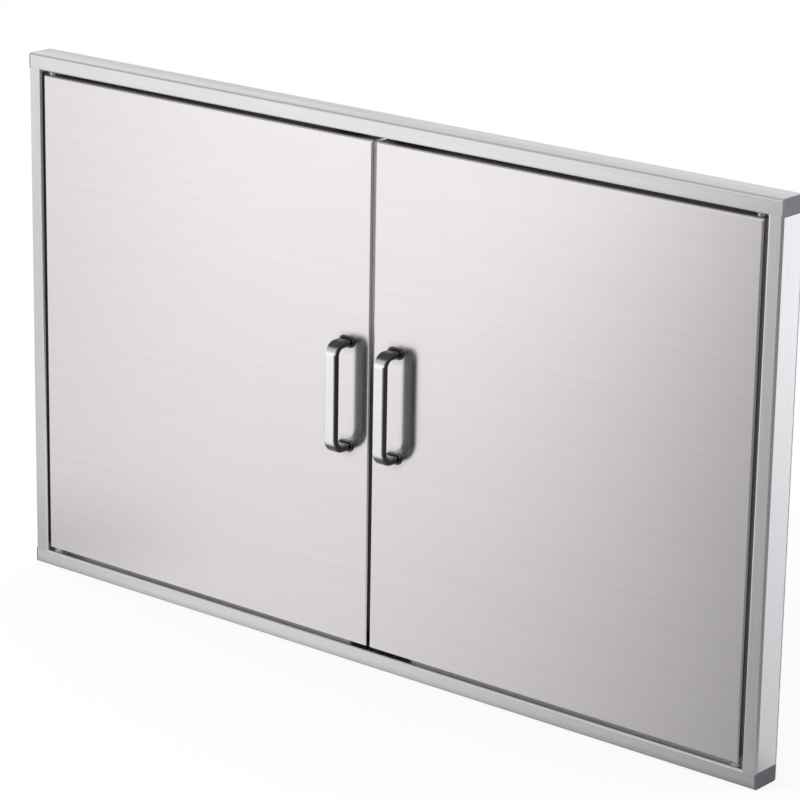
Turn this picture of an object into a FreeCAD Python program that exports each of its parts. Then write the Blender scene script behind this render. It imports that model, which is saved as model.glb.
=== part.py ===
import FreeCAD, Part
import math
import os
import Sketcher

# Double access door of an outdoor kitchen island. A welded frame of rectangular tube seats on
# the island's face with a sheet-metal sleeve behind it. Two double-walled doors turn on
# concealed pivots, lift off when a spring pin is pulled down, and close on magnets.
# Millimetres. X is to the right as one faces the doors, Y goes into the island, Z is up.
# The origin is the centre of the doorway, on the plane where the frame seats on the island.

X, Y, Z = range(3)
SIDES = {"left": -1, "right": 1}
ENDS = {"bottom": -1, "top": 1}
FULL_TURN = 360
CLOSE = 1e-4
UP = FreeCAD.Vector(0, 0, 1)

# The points of a sketch's curve, and the sketch's own origin as a curve and a point
START, END, MIDDLE = range(1, 4)
ORIGIN = (-1, 1)

SIZES = (
    ("frame_width", 1066, "frame, outside"),
    ("frame_height", 636, "frame, outside"),
    ("tube_face", 19, "side of the tube that faces the user"),
    ("tube_depth", 38, "side of the tube that runs into the island"),
    ("tube_wall", 1.2, "wall of the tube"),
    ("tube_corner", 3, "outer corner radius of the tube"),
    ("cope_fit", 0.05, "weld gap where a stile is coped over a rail"),
    ("plug_cap", 2, "cap of a rail's end plug, which closes the side flush"),
    ("plug_edge", 0.8, "rounding of the cap's outer edge"),
    ("plug_core", 12, "length of the plug's core inside the rail"),
    ("plug_core_wall", 1.6, "wall of the hollow core"),
    ("plug_fin", 1.1, "thickness of a gripping fin"),
    ("plug_fin_reach", 1.2, "how far a fin stands out from the core"),
    ("plug_fin_pitch", 4, "distance from fin to fin"),
    ("plug_fins", 3, "number of fins"),
    ("plug_fit", 0.1, "clearance of the fins in the rail"),
    ("seat_sheet", 1.2, "seat flange welded to the backs of the tubes"),
    ("seat_inset", 1, "seat flange's edge inside the frame's edge"),
    ("sleeve_sheet", 1.2, "sheet of the sleeve"),
    ("sleeve_depth", 25, "sleeve behind the seat"),
    ("fixing_radius", 2.6, "hole for a fixing screw"),
    ("fixing_across", 800, "between the fixing holes of the top or bottom"),
    ("fixing_up", 400, "between the fixing holes of a side"),
    ("door_gap", 4.5, "gap round and between the doors"),
    ("door_thickness", 20, "door, front to back"),
    ("door_setback", 0.5, "door's face behind the frame's face"),
    ("skin_sheet", 1.2, "outer pan of a door"),
    ("skin_bend", 2.4, "outside radius of the pan's folds"),
    ("skin_corner", 1.6, "radius of the pan's welded corners"),
    ("liner_sheet", 0.9, "inner pan of a door"),
    ("liner_lip", 4, "depth of the inner pan"),
    ("liner_bend", 1.3, "outside radius of the inner pan's folds"),
    ("pivot_inset", 8, "pivot axis from the door's edge"),
    ("pivot_setback", 10, "pivot axis behind the door's face"),
    ("pin_radius", 3, "pivot pin"),
    ("pin_fit", 0.05, "radial clearance of a pin in its bush or bracket"),
    ("pin_reach", 6, "pin beyond the rail's face"),
    ("pin_nose", 0.8, "chamfer at a pin's nose"),
    ("pin_hole_play", 0.4, "radial clearance of a pin in the door's skin"),
    ("pin_travel", 8, "travel of the spring pin"),
    ("pin_bend", 6, "bend radius of the pin's pull, to the centre line"),
    ("pin_pull", 18, "end of the pin's pull behind the axis"),
    ("pin_neck", 4, "straight pin between its bracket and the bend"),
    ("pull_play", 0.6, "clearance of the pull in the liner's slot"),
    ("bush_flange", 1, "flange of a pivot bush"),
    ("bush_flange_radius", 7, "flange of a pivot bush"),
    ("bush_radius", 4.5, "body of a pivot bush"),
    ("bush_length", 12, "pivot bush with its flange"),
    ("bush_fit", 0.05, "clearance of a bush in the rail"),
    ("washer_radius", 6, "pivot washer"),
    ("washer_play", 0.5, "end play above the upper washer"),
    ("bracket_sheet", 1.5, "pivot brackets"),
    ("bracket_edge_gap", 1.3, "bracket to the skin's side, clear of its fold"),
    ("bracket_reach", 14, "bracket from the axis towards the door's middle"),
    ("bracket_depth", 5.6, "bracket behind the axis"),
    ("bracket_fold", 2, "outside radius of a bracket's fold"),
    ("bracket_foot", 18, "upright of the lower bracket"),
    ("rivet_head", 5, "radius of the lower pin's head"),
    ("rivet_head_high", 2, "lower pin's head"),
    ("clip_radius", 5, "retaining clip on the spring pin"),
    ("clip_sheet", 1, "retaining clip"),
    ("clip_groove", 0.5, "depth of the clip's groove in the pin"),
    ("clip_mouth", 4.4, "mouth of the clip, a little narrower than its bore"),
    ("spring_wire", 1, "wire of the pin's spring"),
    ("spring_play", 0.5, "spring's inside to the pin"),
    ("spring_length", 24, "spring as fitted"),
    ("spring_turns", 6, "turns of the spring"),
    ("handle_length", 130, "handle, outside"),
    ("handle_reach", 30, "handle's front from the door's face"),
    ("handle_bar", 8.5, "bar, thickness"),
    ("handle_wide", 16, "bar, width"),
    ("handle_bend", 12, "bend radius of the bar, to its centre line"),
    ("handle_edge", 2.6, "rounding of the bar's edges"),
    ("handle_inset", 33, "handle's middle from the door's free edge"),
    ("handle_bore", 2.5, "radius of the threaded hole in a leg"),
    ("handle_bore_depth", 14, "threaded hole in a leg"),
    ("collar_rim", 2.2, "collar's width round the leg"),
    ("collar_high", 2.5, "collar on the door's face"),
    ("collar_fit", 0.15, "collar to the leg"),
    ("collar_round", 1, "rounding of the collar's top edge"),
    ("screw_fit", 0.1, "handle screw in its threaded hole"),
    ("screw_head", 4.6, "radius of the handle screw's head"),
    ("screw_head_high", 3, "handle screw's head"),
    ("screw_dome", 1.6, "rounding of the handle screw's head"),
    ("screw_grip", 11, "handle screw inside the leg"),
    ("screw_hole_play", 0.4, "handle screw in the door's skin"),
    ("access_hole", 8, "radius of the liner's hole at a handle screw"),
    ("cover_rim", 1.5, "hole cover's rim over the liner"),
    ("cover_high", 1.2, "hole cover's rim"),
    ("cover_wall", 1.2, "hole cover's hollow plug"),
    ("cover_plug", 4, "hole cover's plug inside the door"),
    ("cover_round", 0.7, "rounding of the cover's rim"),
    ("cover_fit", 0.1, "hole cover in its hole"),
    ("catch_offset", 40, "magnetic catch from the centre"),
    ("catch_wide", 46, "catch housing"),
    ("catch_high", 18, "catch housing"),
    ("catch_deep", 14, "catch housing"),
    ("catch_lug", 9, "fixing lug of the housing"),
    ("catch_lug_sheet", 2.5, "fixing lug of the housing"),
    ("catch_lug_deep", 10, "fixing lug of the housing"),
    ("catch_round", 1, "rounding of the housing"),
    ("pole_out", 0.5, "pole plates ahead of the housing"),
    ("pole_sheet", 1.5, "pole plate"),
    ("pole_wide", 32, "pole plate"),
    ("pole_deep", 11, "pole plate inside the housing"),
    ("magnet_high", 6, "magnet between the pole plates"),
    ("magnet_setback", 1, "magnet behind the housing's face"),
    ("magnet_drop", 12, "magnet's middle below the rail"),
    ("catch_screw", 1.7, "radius of a catch screw"),
    ("catch_screw_head", 3.3, "radius of a catch screw's head"),
    ("catch_screw_head_high", 1.8, "catch screw's head"),
    ("catch_screw_dome", 1, "rounding of the catch screw's head"),
    ("catch_screw_grip", 8, "catch screw above the lug"),
    ("catch_screw_fit", 0.05, "catch screw in the rail"),
    ("catch_slot_play", 0.3, "catch screw in the lug's slot"),
    ("catch_slot_travel", 2, "adjustment of the housing on its slots"),
    ("strike_wide", 48, "strike plate"),
    ("strike_high", 10, "strike plate"),
    ("strike_sheet", 1.2, "strike plate"),
    ("strike_corner", 1.5, "rounding of the strike plate's corners"),
    ("strike_rivet", 1.5, "radius of a strike rivet"),
    ("strike_rivet_head", 0.9, "countersink of a strike rivet"),
    ("strike_rivet_inset", 3.8, "strike rivet from the plate's end"),
    ("strike_rivet_tail", 1.2, "strike rivet's tail inside the liner"),
    ("strike_rivet_spread", 2.3, "radius of the strike rivet's tail"),
    ("rivet_fit", 0.05, "clearance of a rivet in its holes"),
    ("stop_wide", 90, "stop angle behind the doors' lower edge"),
    ("stop_sheet", 1.5, "stop angle"),
    ("stop_high", 15, "stop angle's upright"),
    ("stop_deep", 13, "stop angle's foot"),
    ("stop_fold", 3, "outside radius of the stop angle's fold"),
    ("bumper_offset", 30, "bumper from the centre"),
    ("bumper_rise", 9.5, "bumper's middle above the rail"),
    ("bumper_radius", 3.5, "bumper's pad"),
    ("bumper_pad", 4, "bumper's pad between the angle and the door"),
    ("bumper_stem", 1.8, "radius of the bumper's stem"),
    ("bumper_barb", 2.4, "radius of the bumper's barb"),
    ("bumper_barb_long", 2.5, "bumper's barb behind the angle"),
    ("bumper_fit", 0.05, "clearance of the stem in the angle"),
    ("bumper_round", 0.8, "rounding of the bumper's pad"),
)

# Places that several pieces share, worked out from the sizes
DOORWAY_X = "(dim.frame_width / 2 - dim.tube_face)"
DOORWAY_Z = "(dim.frame_height / 2 - dim.tube_face)"
TUBE_Y = "(-dim.seat_sheet - dim.tube_depth / 2)"
RAIL_LONG = "(dim.frame_width - 2 * dim.plug_cap)"
DOOR_WIDE = f"({DOORWAY_X} - 1.5 * dim.door_gap)"
DOOR_HIGH = f"(2 * {DOORWAY_Z} - 2 * dim.door_gap)"
DOOR_X = f"((dim.door_gap + {DOOR_WIDE}) / 2)"
DOOR_FRONT = "(dim.door_setback - dim.seat_sheet - dim.tube_depth)"
DOOR_BACK = f"({DOOR_FRONT} + dim.door_thickness)"
PIVOT_X = f"({DOORWAY_X} - dim.door_gap - dim.pivot_inset)"
PIVOT_Y = f"({DOOR_FRONT} + dim.pivot_setback)"
PIVOT_IN_DOOR = f"({DOOR_WIDE} / 2 - dim.pivot_inset)"
HANDLE_IN_DOOR = f"({DOOR_WIDE} / 2 - dim.handle_inset)"
LEG_Z = "((dim.handle_length - dim.handle_bar) / 2)"
SCREW_RADIUS = "(dim.handle_bore - dim.screw_fit)"
CATCH_Y = f"({DOOR_BACK} + dim.strike_sheet + dim.pole_out)"
CATCH_SCREW_X = "((dim.catch_wide + dim.catch_lug) / 2)"
STRIKE_IN_DOOR = f"({DOOR_X} - dim.catch_offset)"
STRIKE_DROP = "(dim.magnet_drop - dim.door_gap)"
RIVET_X = "(dim.strike_wide / 2 - dim.strike_rivet_inset)"
BRACKET_FRONT = "(dim.skin_sheet - dim.pivot_setback)"
BRACKET_OUT = "(dim.pivot_inset - dim.skin_sheet - dim.bracket_edge_gap)"
GUIDE_TOP = "(dim.skin_sheet + dim.bracket_sheet)"
GUIDE_LOW = f"({GUIDE_TOP} + dim.clip_sheet + dim.spring_length)"
PULL_DROP = f"({GUIDE_LOW} + dim.bracket_sheet + dim.pin_neck + dim.pin_bend)"

doc = FreeCAD.newDocument("access_door")
sheet = doc.addObject("Spreadsheet::Sheet", "dim")
for row, (alias, amount, meaning) in enumerate(SIZES, start=1):
    sheet.set(f"A{row}", meaning)
    sheet.set(f"B{row}", str(amount))
    sheet.setAlias(f"B{row}", alias)
reckoner = doc.addObject("App::FeaturePython", "reckoner")
reckoner.addProperty("App::PropertyFloat", "result")
doc.recompute()
pieces = []


def number(expression):
    """What an expression on the sheet comes to."""
    reckoner.setExpression("result", expression)
    reckoner.recompute()
    return reckoner.result


def points_on(edge):
    """Three points of an edge: its ends and its middle."""
    first, last = edge.ParameterRange
    return [edge.valueAt(t) for t in (first, (first + last) / 2, last)]


def along(edge, axis):
    """Whether an edge is straight and runs along an axis."""
    start, middle, end = points_on(edge)
    across = [i for i in (X, Y, Z) if i != axis]
    straight = all(abs(p[i] - start[i]) < CLOSE for p in (middle, end) for i in across)
    return straight and abs(end[axis] - start[axis]) > CLOSE


def on_plane(edge, axis, level):
    """Whether an edge lies in the plane at a level of an axis."""
    return all(abs(p[axis] - level) < CLOSE for p in points_on(edge))


class Outline:
    """A sketch on one of a piece's own planes, with every point bound to the sheet."""

    def __init__(self, body, plane, level):
        self.sketch = body.newObject("Sketcher::SketchObject", "Outline")
        support = [p for p in body.Origin.OriginFeatures if p.Role == f"{plane}_Plane"]
        self.sketch.AttachmentSupport = [(support[0], "")]
        self.sketch.MapMode = "FlatFace"
        # the XZ plane faces -Y, and each other one the positive way of its axis
        self.facing = -1 if plane == "XZ" else 1
        self.sketch.setExpression("AttachmentOffset.Base.z", f"{self.facing} * ({level})")

    def add(self, curve):
        return self.sketch.addGeometry(curve, False)

    def tie(self, kind, *place):
        self.sketch.addConstraint(Sketcher.Constraint(kind, *place))

    def bind(self, kind, *place_and_size):
        """Add a dimension and bind it to an expression, which comes last."""
        *place, size = place_and_size
        index = self.sketch.addConstraint(Sketcher.Constraint(kind, *place, number(size)))
        self.sketch.setExpression(f"Constraints[{index}]", size)

    def bind_point(self, curve, end, across, up):
        self.bind("DistanceX", *ORIGIN, curve, end, across)
        self.bind("DistanceY", *ORIGIN, curve, end, up)

    def polygon(self, corners):
        """A closed outline through corners, each a pair of expressions."""
        spots = [FreeCAD.Vector(number(across), number(up), 0) for across, up in corners]
        ends = spots[1:] + spots[:1]
        sides = [self.add(Part.LineSegment(a, b)) for a, b in zip(spots, ends)]
        for i, (across, up) in enumerate(corners):
            self.tie("Coincident", sides[i - 1], END, sides[i], START)
            self.bind_point(sides[i], START, across, up)

    def rectangle(self, left, right, low, high):
        """A rectangle by its four sides."""
        self.polygon([(left, low), (right, low), (right, high), (left, high)])

    def box(self, wide, high, across="0", up="0"):
        """A rectangle by its size and its middle."""
        self.rectangle(f"{across} - ({wide}) / 2", f"{across} + ({wide}) / 2",
                       f"{up} - ({high}) / 2", f"{up} + ({high}) / 2")

    def circle(self, across, up, radius):
        """A circle by its middle and radius."""
        ring = Part.Circle(FreeCAD.Vector(number(across), number(up), 0), UP, number(radius))
        curve = self.add(ring)
        self.bind_point(curve, MIDDLE, across, up)
        self.bind("Radius", curve, radius)

    def octagon(self, across, up, half):
        """A regular octagon by its middle and half its width, two of its sides upright."""
        end = math.tan(math.pi / 8)
        corners = [(1, -end), (1, end), (end, 1), (-end, 1),
                   (-1, end), (-1, -end), (-end, -1), (end, -1)]
        self.polygon([(f"{across} + {i} * {half}", f"{up} + {j} * {half}") for i, j in corners])

    def slot(self, across, low, high, half):
        """An upright slot with round ends, by its middle, its ends and half its width."""
        middle = number(across)
        reach = number(half)
        head = FreeCAD.Vector(middle, number(high) - reach, 0)
        foot = FreeCAD.Vector(middle, number(low) + reach, 0)
        out = FreeCAD.Vector(reach, 0, 0)
        ring = [
            self.add(Part.ArcOfCircle(Part.Circle(head, UP, reach), 0, math.pi)),
            self.add(Part.LineSegment(head - out, foot - out)),
            self.add(Part.ArcOfCircle(Part.Circle(foot, UP, reach), math.pi, 2 * math.pi)),
            self.add(Part.LineSegment(foot + out, head + out)),
        ]
        for i, curve in enumerate(ring):
            self.tie("Tangent", ring[i - 1], END, curve, START)
        self.bind("Radius", ring[0], half)
        self.bind_point(ring[0], MIDDLE, across, f"{high} - {half}")
        self.bind_point(ring[2], MIDDLE, across, f"{low} + {half}")

    def route(self, corners, radius):
        """An open path square to the axes, whose corners are rounded to one radius."""
        spots = [FreeCAD.Vector(number(across), number(up), 0) for across, up in corners]
        bend = number(radius)
        ways = [(b - a).normalize() for a, b in zip(spots, spots[1:])]
        last = len(ways) - 1
        runs = []
        for i, way in enumerate(ways):
            start = spots[i] + way * (bend if i > 0 else 0)
            end = spots[i + 1] - way * (bend if i < last else 0)
            runs.append(self.add(Part.LineSegment(start, end)))
            upright = abs(way.y) > abs(way.x)
            self.tie("Vertical" if upright else "Horizontal", runs[i])
            if i == 0:
                self.bind_point(runs[0], START, *corners[0])
            elif upright:
                self.bind("DistanceX", *ORIGIN, runs[i], START, corners[i][0])
            else:
                self.bind("DistanceY", *ORIGIN, runs[i], START, corners[i][1])
            if i == last and upright:
                self.bind("DistanceY", *ORIGIN, runs[i], END, corners[-1][1])
            elif i == last:
                self.bind("DistanceX", *ORIGIN, runs[i], END, corners[-1][0])
        for i in range(last):
            before, after = ways[i], ways[i + 1]
            centre = spots[i + 1] - before * bend + after * bend
            leftward = before.cross(after).z > 0
            entry, leave = (START, END) if leftward else (END, START)
            first = -after if leftward else before
            angle = FreeCAD.Vector(1, 0, 0).getAngle(first)
            angle = angle if first.y >= 0 else -angle
            ring = Part.Circle(centre, UP, bend)
            elbow = self.add(Part.ArcOfCircle(ring, angle, angle + math.pi / 2))
            self.tie("Tangent", runs[i], END, elbow, entry)
            self.tie("Tangent", elbow, leave, runs[i + 1], START)
            self.bind("Radius", elbow, radius)


class Piece:
    """One node: a body with its own sketches and features, modelled in its own frame."""

    def __init__(self, name):
        self.body = doc.addObject("PartDesign::Body", name)
        self.body.Label = name
        self.body.AllowCompound = True
        self.earlier = []
        pieces.append(self.body)

    def sketch(self, plane, level="0"):
        return Outline(self.body, plane, level)

    def solid(self):
        return self.body.Tip.Shape

    def feature(self, kind, outline):
        """Start a feature on an outline, and remember the edges that were there before it."""
        if self.body.Tip:
            self.earlier = [points_on(edge)[1] for edge in self.solid().Edges]
        made = self.body.newObject(f"PartDesign::{kind}", kind)
        made.Profile = outline.sketch
        return made

    def pad(self, outline, length, toward=1, both=False):
        """Add the outline's prism, one way along its axis or both ways from the sketch."""
        made = self.feature("Pad", outline)
        made.setExpression("Length", length)
        made.SideType = "Symmetric" if both else "One side"
        made.Reversed = toward != outline.facing
        doc.recompute()

    def pocket(self, outline, depth=None, toward=1, both=False):
        """Cut the outline's prism, to a depth or right through, and see that it has cut."""
        before = self.solid().Volume
        made = self.feature("Pocket", outline)
        made.SideType = "Symmetric" if both else "One side"
        made.Reversed = toward == outline.facing
        if depth is None:
            made.Type = "ThroughAll"
        else:
            made.setExpression("Length", depth)
        self.see_cut(made, before)

    def see_cut(self, made, before):
        doc.recompute()
        if made.Shape.isNull() or not made.Shape.Volume < before:
            raise ValueError(f"{made.Name} of {self.body.Label} cuts nothing")

    def revolve(self, outline, kind="Revolution"):
        """Turn the outline round the sketch's upright axis, to add it or to cut a groove."""
        before = self.solid().Volume if self.body.Tip else 0
        made = self.feature(kind, outline)
        made.ReferenceAxis = (outline.sketch, ["V_Axis"])
        made.Angle = FULL_TURN
        if kind == "Groove":
            self.see_cut(made, before)
        doc.recompute()

    def sweep(self, outline, route):
        """Carry the outline along a route."""
        made = self.feature("AdditivePipe", outline)
        made.Spine = route.sketch
        doc.recompute()

    def is_new(self, edge):
        """Whether the last outlined feature made this edge."""
        middle = points_on(edge)[1]
        return all((middle - spot).Length > CLOSE for spot in self.earlier)

    def edges(self, wanted):
        """The names of the edges that a test picks."""
        found = enumerate(self.solid().Edges, start=1)
        names = [f"Edge{i}" for i, edge in found if wanted(edge)]
        if not names:
            raise ValueError(f"no such edge on {self.body.Label}")
        return names

    def fillet(self, radius, wanted):
        self.dress("Fillet", "Radius", radius, wanted)

    def chamfer(self, size, wanted):
        self.dress("Chamfer", "Size", size, wanted)

    def dress(self, kind, measure, size, wanted):
        names = self.edges(wanted)
        base = self.body.Tip
        made = self.body.newObject(f"PartDesign::{kind}", kind)
        made.Base = (base, names)
        made.setExpression(measure, size)
        doc.recompute()

    def place(self, x="0", y="0", z="0", turn=0):
        """Put the piece in the door's frame, turned about the upright axis if need be."""
        self.body.Placement.Rotation = FreeCAD.Rotation(UP, turn)
        for axis, where in (("x", x), ("y", y), ("z", z)):
            self.body.setExpression(f"Placement.Base.{axis}", where)
        doc.recompute()


# Tube frame


def tube(piece, plane, wide, high, length, run):
    """Make a centred rectangular tube with rounded corners that runs along an axis."""
    section = piece.sketch(plane)
    section.box(wide, high)
    piece.pad(section, length, both=True)
    piece.fillet("dim.tube_corner", lambda edge: along(edge, run))
    bore = piece.sketch(plane)
    bore.box(f"{wide} - 2 * dim.tube_wall", f"{high} - 2 * dim.tube_wall")
    piece.pocket(bore, both=True)
    piece.fillet("dim.tube_corner - dim.tube_wall",
                 lambda edge: along(edge, run) and piece.is_new(edge))


def rail(end):
    """A rail over the frame's full width, with the pivot bushes' holes in its inner wall."""
    piece = Piece(f"{end}_rail")
    tube(piece, "YZ", "dim.tube_depth", "dim.tube_face", RAIL_LONG, X)
    holes = piece.sketch("XY")
    for side in SIDES.values():
        holes.circle(f"{side} * {PIVOT_X}", f"{PIVOT_Y} - {TUBE_Y}",
                     "dim.bush_radius + dim.bush_fit")
    if end == "top":
        for side in SIDES.values():
            for lug in SIDES.values():
                holes.circle(f"{side} * dim.catch_offset + {lug} * {CATCH_SCREW_X}",
                             f"{CATCH_Y} + dim.catch_deep / 2 - {TUBE_Y}",
                             "dim.catch_screw + dim.catch_screw_fit")
    piece.pocket(holes, toward=-ENDS[end])
    piece.place(y=TUBE_Y, z=f"{ENDS[end]} * (dim.frame_height - dim.tube_face) / 2")


def stile(side):
    """A stile between the rails, coped over their rounded edges and welded there."""
    piece = Piece(f"{side}_stile")
    long = f"(2 * {DOORWAY_Z} + 2 * dim.tube_corner)"
    tube(piece, "XY", "dim.tube_face", "dim.tube_depth", long, Z)
    flat = piece.sketch("YZ")
    rounds = piece.sketch("YZ")
    half_flat = "(dim.tube_depth / 2 - dim.tube_corner)"
    for up in ENDS.values():
        flat.rectangle(f"-{half_flat}", half_flat, f"{up} * {DOORWAY_Z}",
                       f"{up} * ({DOORWAY_Z} + 2 * dim.tube_corner)")
        for face in (-1, 1):
            rounds.circle(f"{face} * {half_flat}", f"{up} * ({DOORWAY_Z} + dim.tube_corner)",
                          "dim.tube_corner + dim.cope_fit")
    piece.pocket(flat, both=True)
    piece.pocket(rounds, both=True)
    piece.place(x=f"{SIDES[side]} * (dim.frame_width - dim.tube_face) / 2", y=TUBE_Y)


def end_plug(end, side):
    """A moulded plug in a rail's end: a cap as wide as the tube and a core with grip fins."""
    piece = Piece(f"{end}_{side}_end_plug")
    cap = piece.sketch("YZ")
    cap.box("dim.tube_depth", "dim.tube_face")
    piece.pad(cap, "dim.plug_cap")
    piece.fillet("dim.tube_corner", lambda edge: along(edge, X))
    outer = number("dim.plug_cap")
    piece.fillet("dim.plug_edge", lambda edge: on_plane(edge, X, outer))
    bore_wide = "dim.tube_depth - 2 * dim.tube_wall - 2 * dim.plug_fit"
    bore_high = "dim.tube_face - 2 * dim.tube_wall - 2 * dim.plug_fit"
    core = piece.sketch("YZ")
    core.box(f"{bore_wide} - 2 * dim.plug_fin_reach", f"{bore_high} - 2 * dim.plug_fin_reach")
    piece.pad(core, "dim.plug_core", toward=-1)
    for count in range(int(number("dim.plug_fins"))):
        fin = piece.sketch("YZ", f"{count} * dim.plug_fin_pitch - dim.plug_core")
        fin.box(bore_wide, bore_high)
        piece.pad(fin, "dim.plug_fin")
        rim = number(f"({bore_high}) / 2")
        piece.fillet("dim.tube_corner - dim.tube_wall", lambda edge: along(edge, X)
                     and piece.is_new(edge) and abs(abs(points_on(edge)[1].z) - rim) < CLOSE)
    cavity = piece.sketch("YZ")
    shrink = "2 * dim.plug_fin_reach - 2 * dim.plug_core_wall"
    cavity.box(f"{bore_wide} - {shrink}", f"{bore_high} - {shrink}")
    piece.pocket(cavity, toward=-1)
    piece.place(x=f"{SIDES[side]} * {RAIL_LONG} / 2", y=TUBE_Y,
                z=f"{ENDS[end]} * (dim.frame_height - dim.tube_face) / 2",
                turn=0 if side == "right" else FULL_TURN / 2)


for end in ENDS:
    rail(end)
for side in SIDES:
    stile(side)
for end in ENDS:
    for side in SIDES:
        end_plug(end, side)


# Seat flange and sleeve


def seat_flange():
    """The flat ring behind the tubes, which lies on the island's face."""
    piece = Piece("seat_flange")
    ring = piece.sketch("XZ")
    ring.box("dim.frame_width - 2 * dim.seat_inset", "dim.frame_height - 2 * dim.seat_inset")
    ring.box(f"2 * {DOORWAY_X}", f"2 * {DOORWAY_Z}")
    piece.pad(ring, "dim.seat_sheet", toward=-1)


def sleeve_across(end):
    """The sleeve's top or bottom strip, welded to the seat flange's inner edge."""
    piece = Piece(f"{end}_sleeve")
    strip = piece.sketch("XY")
    strip.rectangle(f"-{DOORWAY_X}", DOORWAY_X, "-dim.seat_sheet", "dim.sleeve_depth")
    for side in SIDES.values():
        strip.circle(f"{side} * dim.fixing_across / 2", "dim.sleeve_depth / 2",
                     "dim.fixing_radius")
    piece.pad(strip, "dim.sleeve_sheet", toward=-ENDS[end])
    piece.place(z=f"{ENDS[end]} * {DOORWAY_Z}")


def sleeve_upright(side):
    """The sleeve's side strip, between the top and bottom ones."""
    piece = Piece(f"{side}_sleeve")
    strip = piece.sketch("YZ")
    half_high = f"({DOORWAY_Z} - dim.sleeve_sheet)"
    strip.rectangle("-dim.seat_sheet", "dim.sleeve_depth", f"-{half_high}", half_high)
    for up in ENDS.values():
        strip.circle("dim.sleeve_depth / 2", f"{up} * dim.fixing_up / 2", "dim.fixing_radius")
    piece.pad(strip, "dim.sleeve_sheet", toward=-SIDES[side])
    piece.place(x=f"{SIDES[side]} * {DOORWAY_X}")


seat_flange()
for end in ENDS:
    sleeve_across(end)
for side in SIDES:
    sleeve_upright(side)


# Doors: an outer pan and an inner pan


def on_door(piece, side):
    """Place a piece whose own origin is the middle of a door's face."""
    piece.place(x=f"{SIDES[side]} * {DOOR_X}", y=DOOR_FRONT)


def skin(side):
    """A door's outer pan, folded from one sheet, with holes for its pins and its handle."""
    piece = Piece(f"{side}_door_skin")
    hinge = SIDES[side]
    face = piece.sketch("XZ")
    face.box(DOOR_WIDE, DOOR_HIGH)
    piece.pad(face, "dim.door_thickness")
    piece.fillet("dim.skin_corner", lambda edge: along(edge, Y))
    piece.fillet("dim.skin_bend", lambda edge: on_plane(edge, Y, 0))
    inside = piece.sketch("XZ", "dim.skin_sheet")
    inside.box(f"{DOOR_WIDE} - 2 * dim.skin_sheet", f"{DOOR_HIGH} - 2 * dim.skin_sheet")
    piece.pocket(inside)
    floor = number("dim.skin_sheet")
    piece.fillet("dim.skin_bend - dim.skin_sheet", lambda edge: on_plane(edge, Y, floor))
    for up in ENDS.values():
        hole = piece.sketch("XY", f"{up} * {DOOR_HIGH} / 2")
        hole.circle(f"{hinge} * {PIVOT_IN_DOOR}", "dim.pivot_setback",
                    "dim.pin_radius + dim.pin_hole_play")
        piece.pocket(hole, "2 * dim.skin_sheet", toward=-up)
    screws = piece.sketch("XZ")
    for up in ENDS.values():
        screws.circle(f"-{hinge} * {HANDLE_IN_DOOR}", f"{up} * {LEG_Z}",
                      f"{SCREW_RADIUS} + dim.screw_hole_play")
    piece.pocket(screws, "2 * dim.skin_sheet")
    on_door(piece, side)


def liner(side):
    """A door's inner pan, spot-welded inside the outer one, with its back flush."""
    piece = Piece(f"{side}_door_liner")
    hinge = SIDES[side]
    wide = f"({DOOR_WIDE} - 2 * dim.skin_sheet)"
    high = f"({DOOR_HIGH} - 2 * dim.skin_sheet)"
    lip = "dim.door_thickness - dim.liner_lip"
    back = piece.sketch("XZ", "dim.door_thickness")
    back.box(wide, high)
    piece.pad(back, "dim.liner_lip", toward=-1)
    outer = number("dim.door_thickness")
    piece.fillet("dim.liner_bend", lambda edge: on_plane(edge, Y, outer))
    inside = piece.sketch("XZ", lip)
    inside.box(f"{wide} - 2 * dim.liner_sheet", f"{high} - 2 * dim.liner_sheet")
    piece.pocket(inside, "dim.liner_lip - dim.liner_sheet")
    floor = number("dim.door_thickness - dim.liner_sheet")
    piece.fillet("dim.liner_bend - dim.liner_sheet", lambda edge: on_plane(edge, Y, floor))
    holes = piece.sketch("XZ", lip)
    for up in ENDS.values():
        holes.circle(f"-{hinge} * {HANDLE_IN_DOOR}", f"{up} * {LEG_Z}", "dim.access_hole")
    for out in SIDES.values():
        holes.circle(f"-{hinge} * {STRIKE_IN_DOOR} + {out} * {RIVET_X}",
                     f"{DOOR_HIGH} / 2 - {STRIKE_DROP}", "dim.strike_rivet + dim.rivet_fit")
    half = "(dim.pin_radius + dim.pull_play)"
    highest = f"{DOOR_HIGH} / 2 - {PULL_DROP} + {half}"
    holes.slot(f"{hinge} * {PIVOT_IN_DOOR}", f"{highest} - dim.pin_travel - 2 * {half}",
               highest, half)
    piece.pocket(holes)
    on_door(piece, side)


for side in SIDES:
    skin(side)
    liner(side)


# Handles: a flat bar bent to a D, collars at its feet, screws from inside the door


def handle(side):
    """The handle's flat bar, bent at two corners, with a threaded hole up each leg."""
    piece = Piece(f"{side}_handle")
    reach = "-(dim.handle_reach - dim.handle_bar / 2)"
    line = piece.sketch("YZ")
    line.route([("0", LEG_Z), (reach, LEG_Z), (reach, f"-{LEG_Z}"), ("0", f"-{LEG_Z}")],
               "dim.handle_bend")
    section = piece.sketch("XZ")
    section.box("dim.handle_wide", "dim.handle_bar", up=LEG_Z)
    piece.sweep(section, line)
    flank = number("dim.handle_wide / 2")
    piece.fillet("dim.handle_edge", lambda edge: not on_plane(edge, Y, 0)
                 and (on_plane(edge, X, flank) or on_plane(edge, X, -flank)))
    bores = piece.sketch("XZ")
    for up in ENDS.values():
        bores.circle("0", f"{up} * {LEG_Z}", "dim.handle_bore")
    piece.pocket(bores, "dim.handle_bore_depth", toward=-1)
    at_handle(piece, side)


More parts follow.
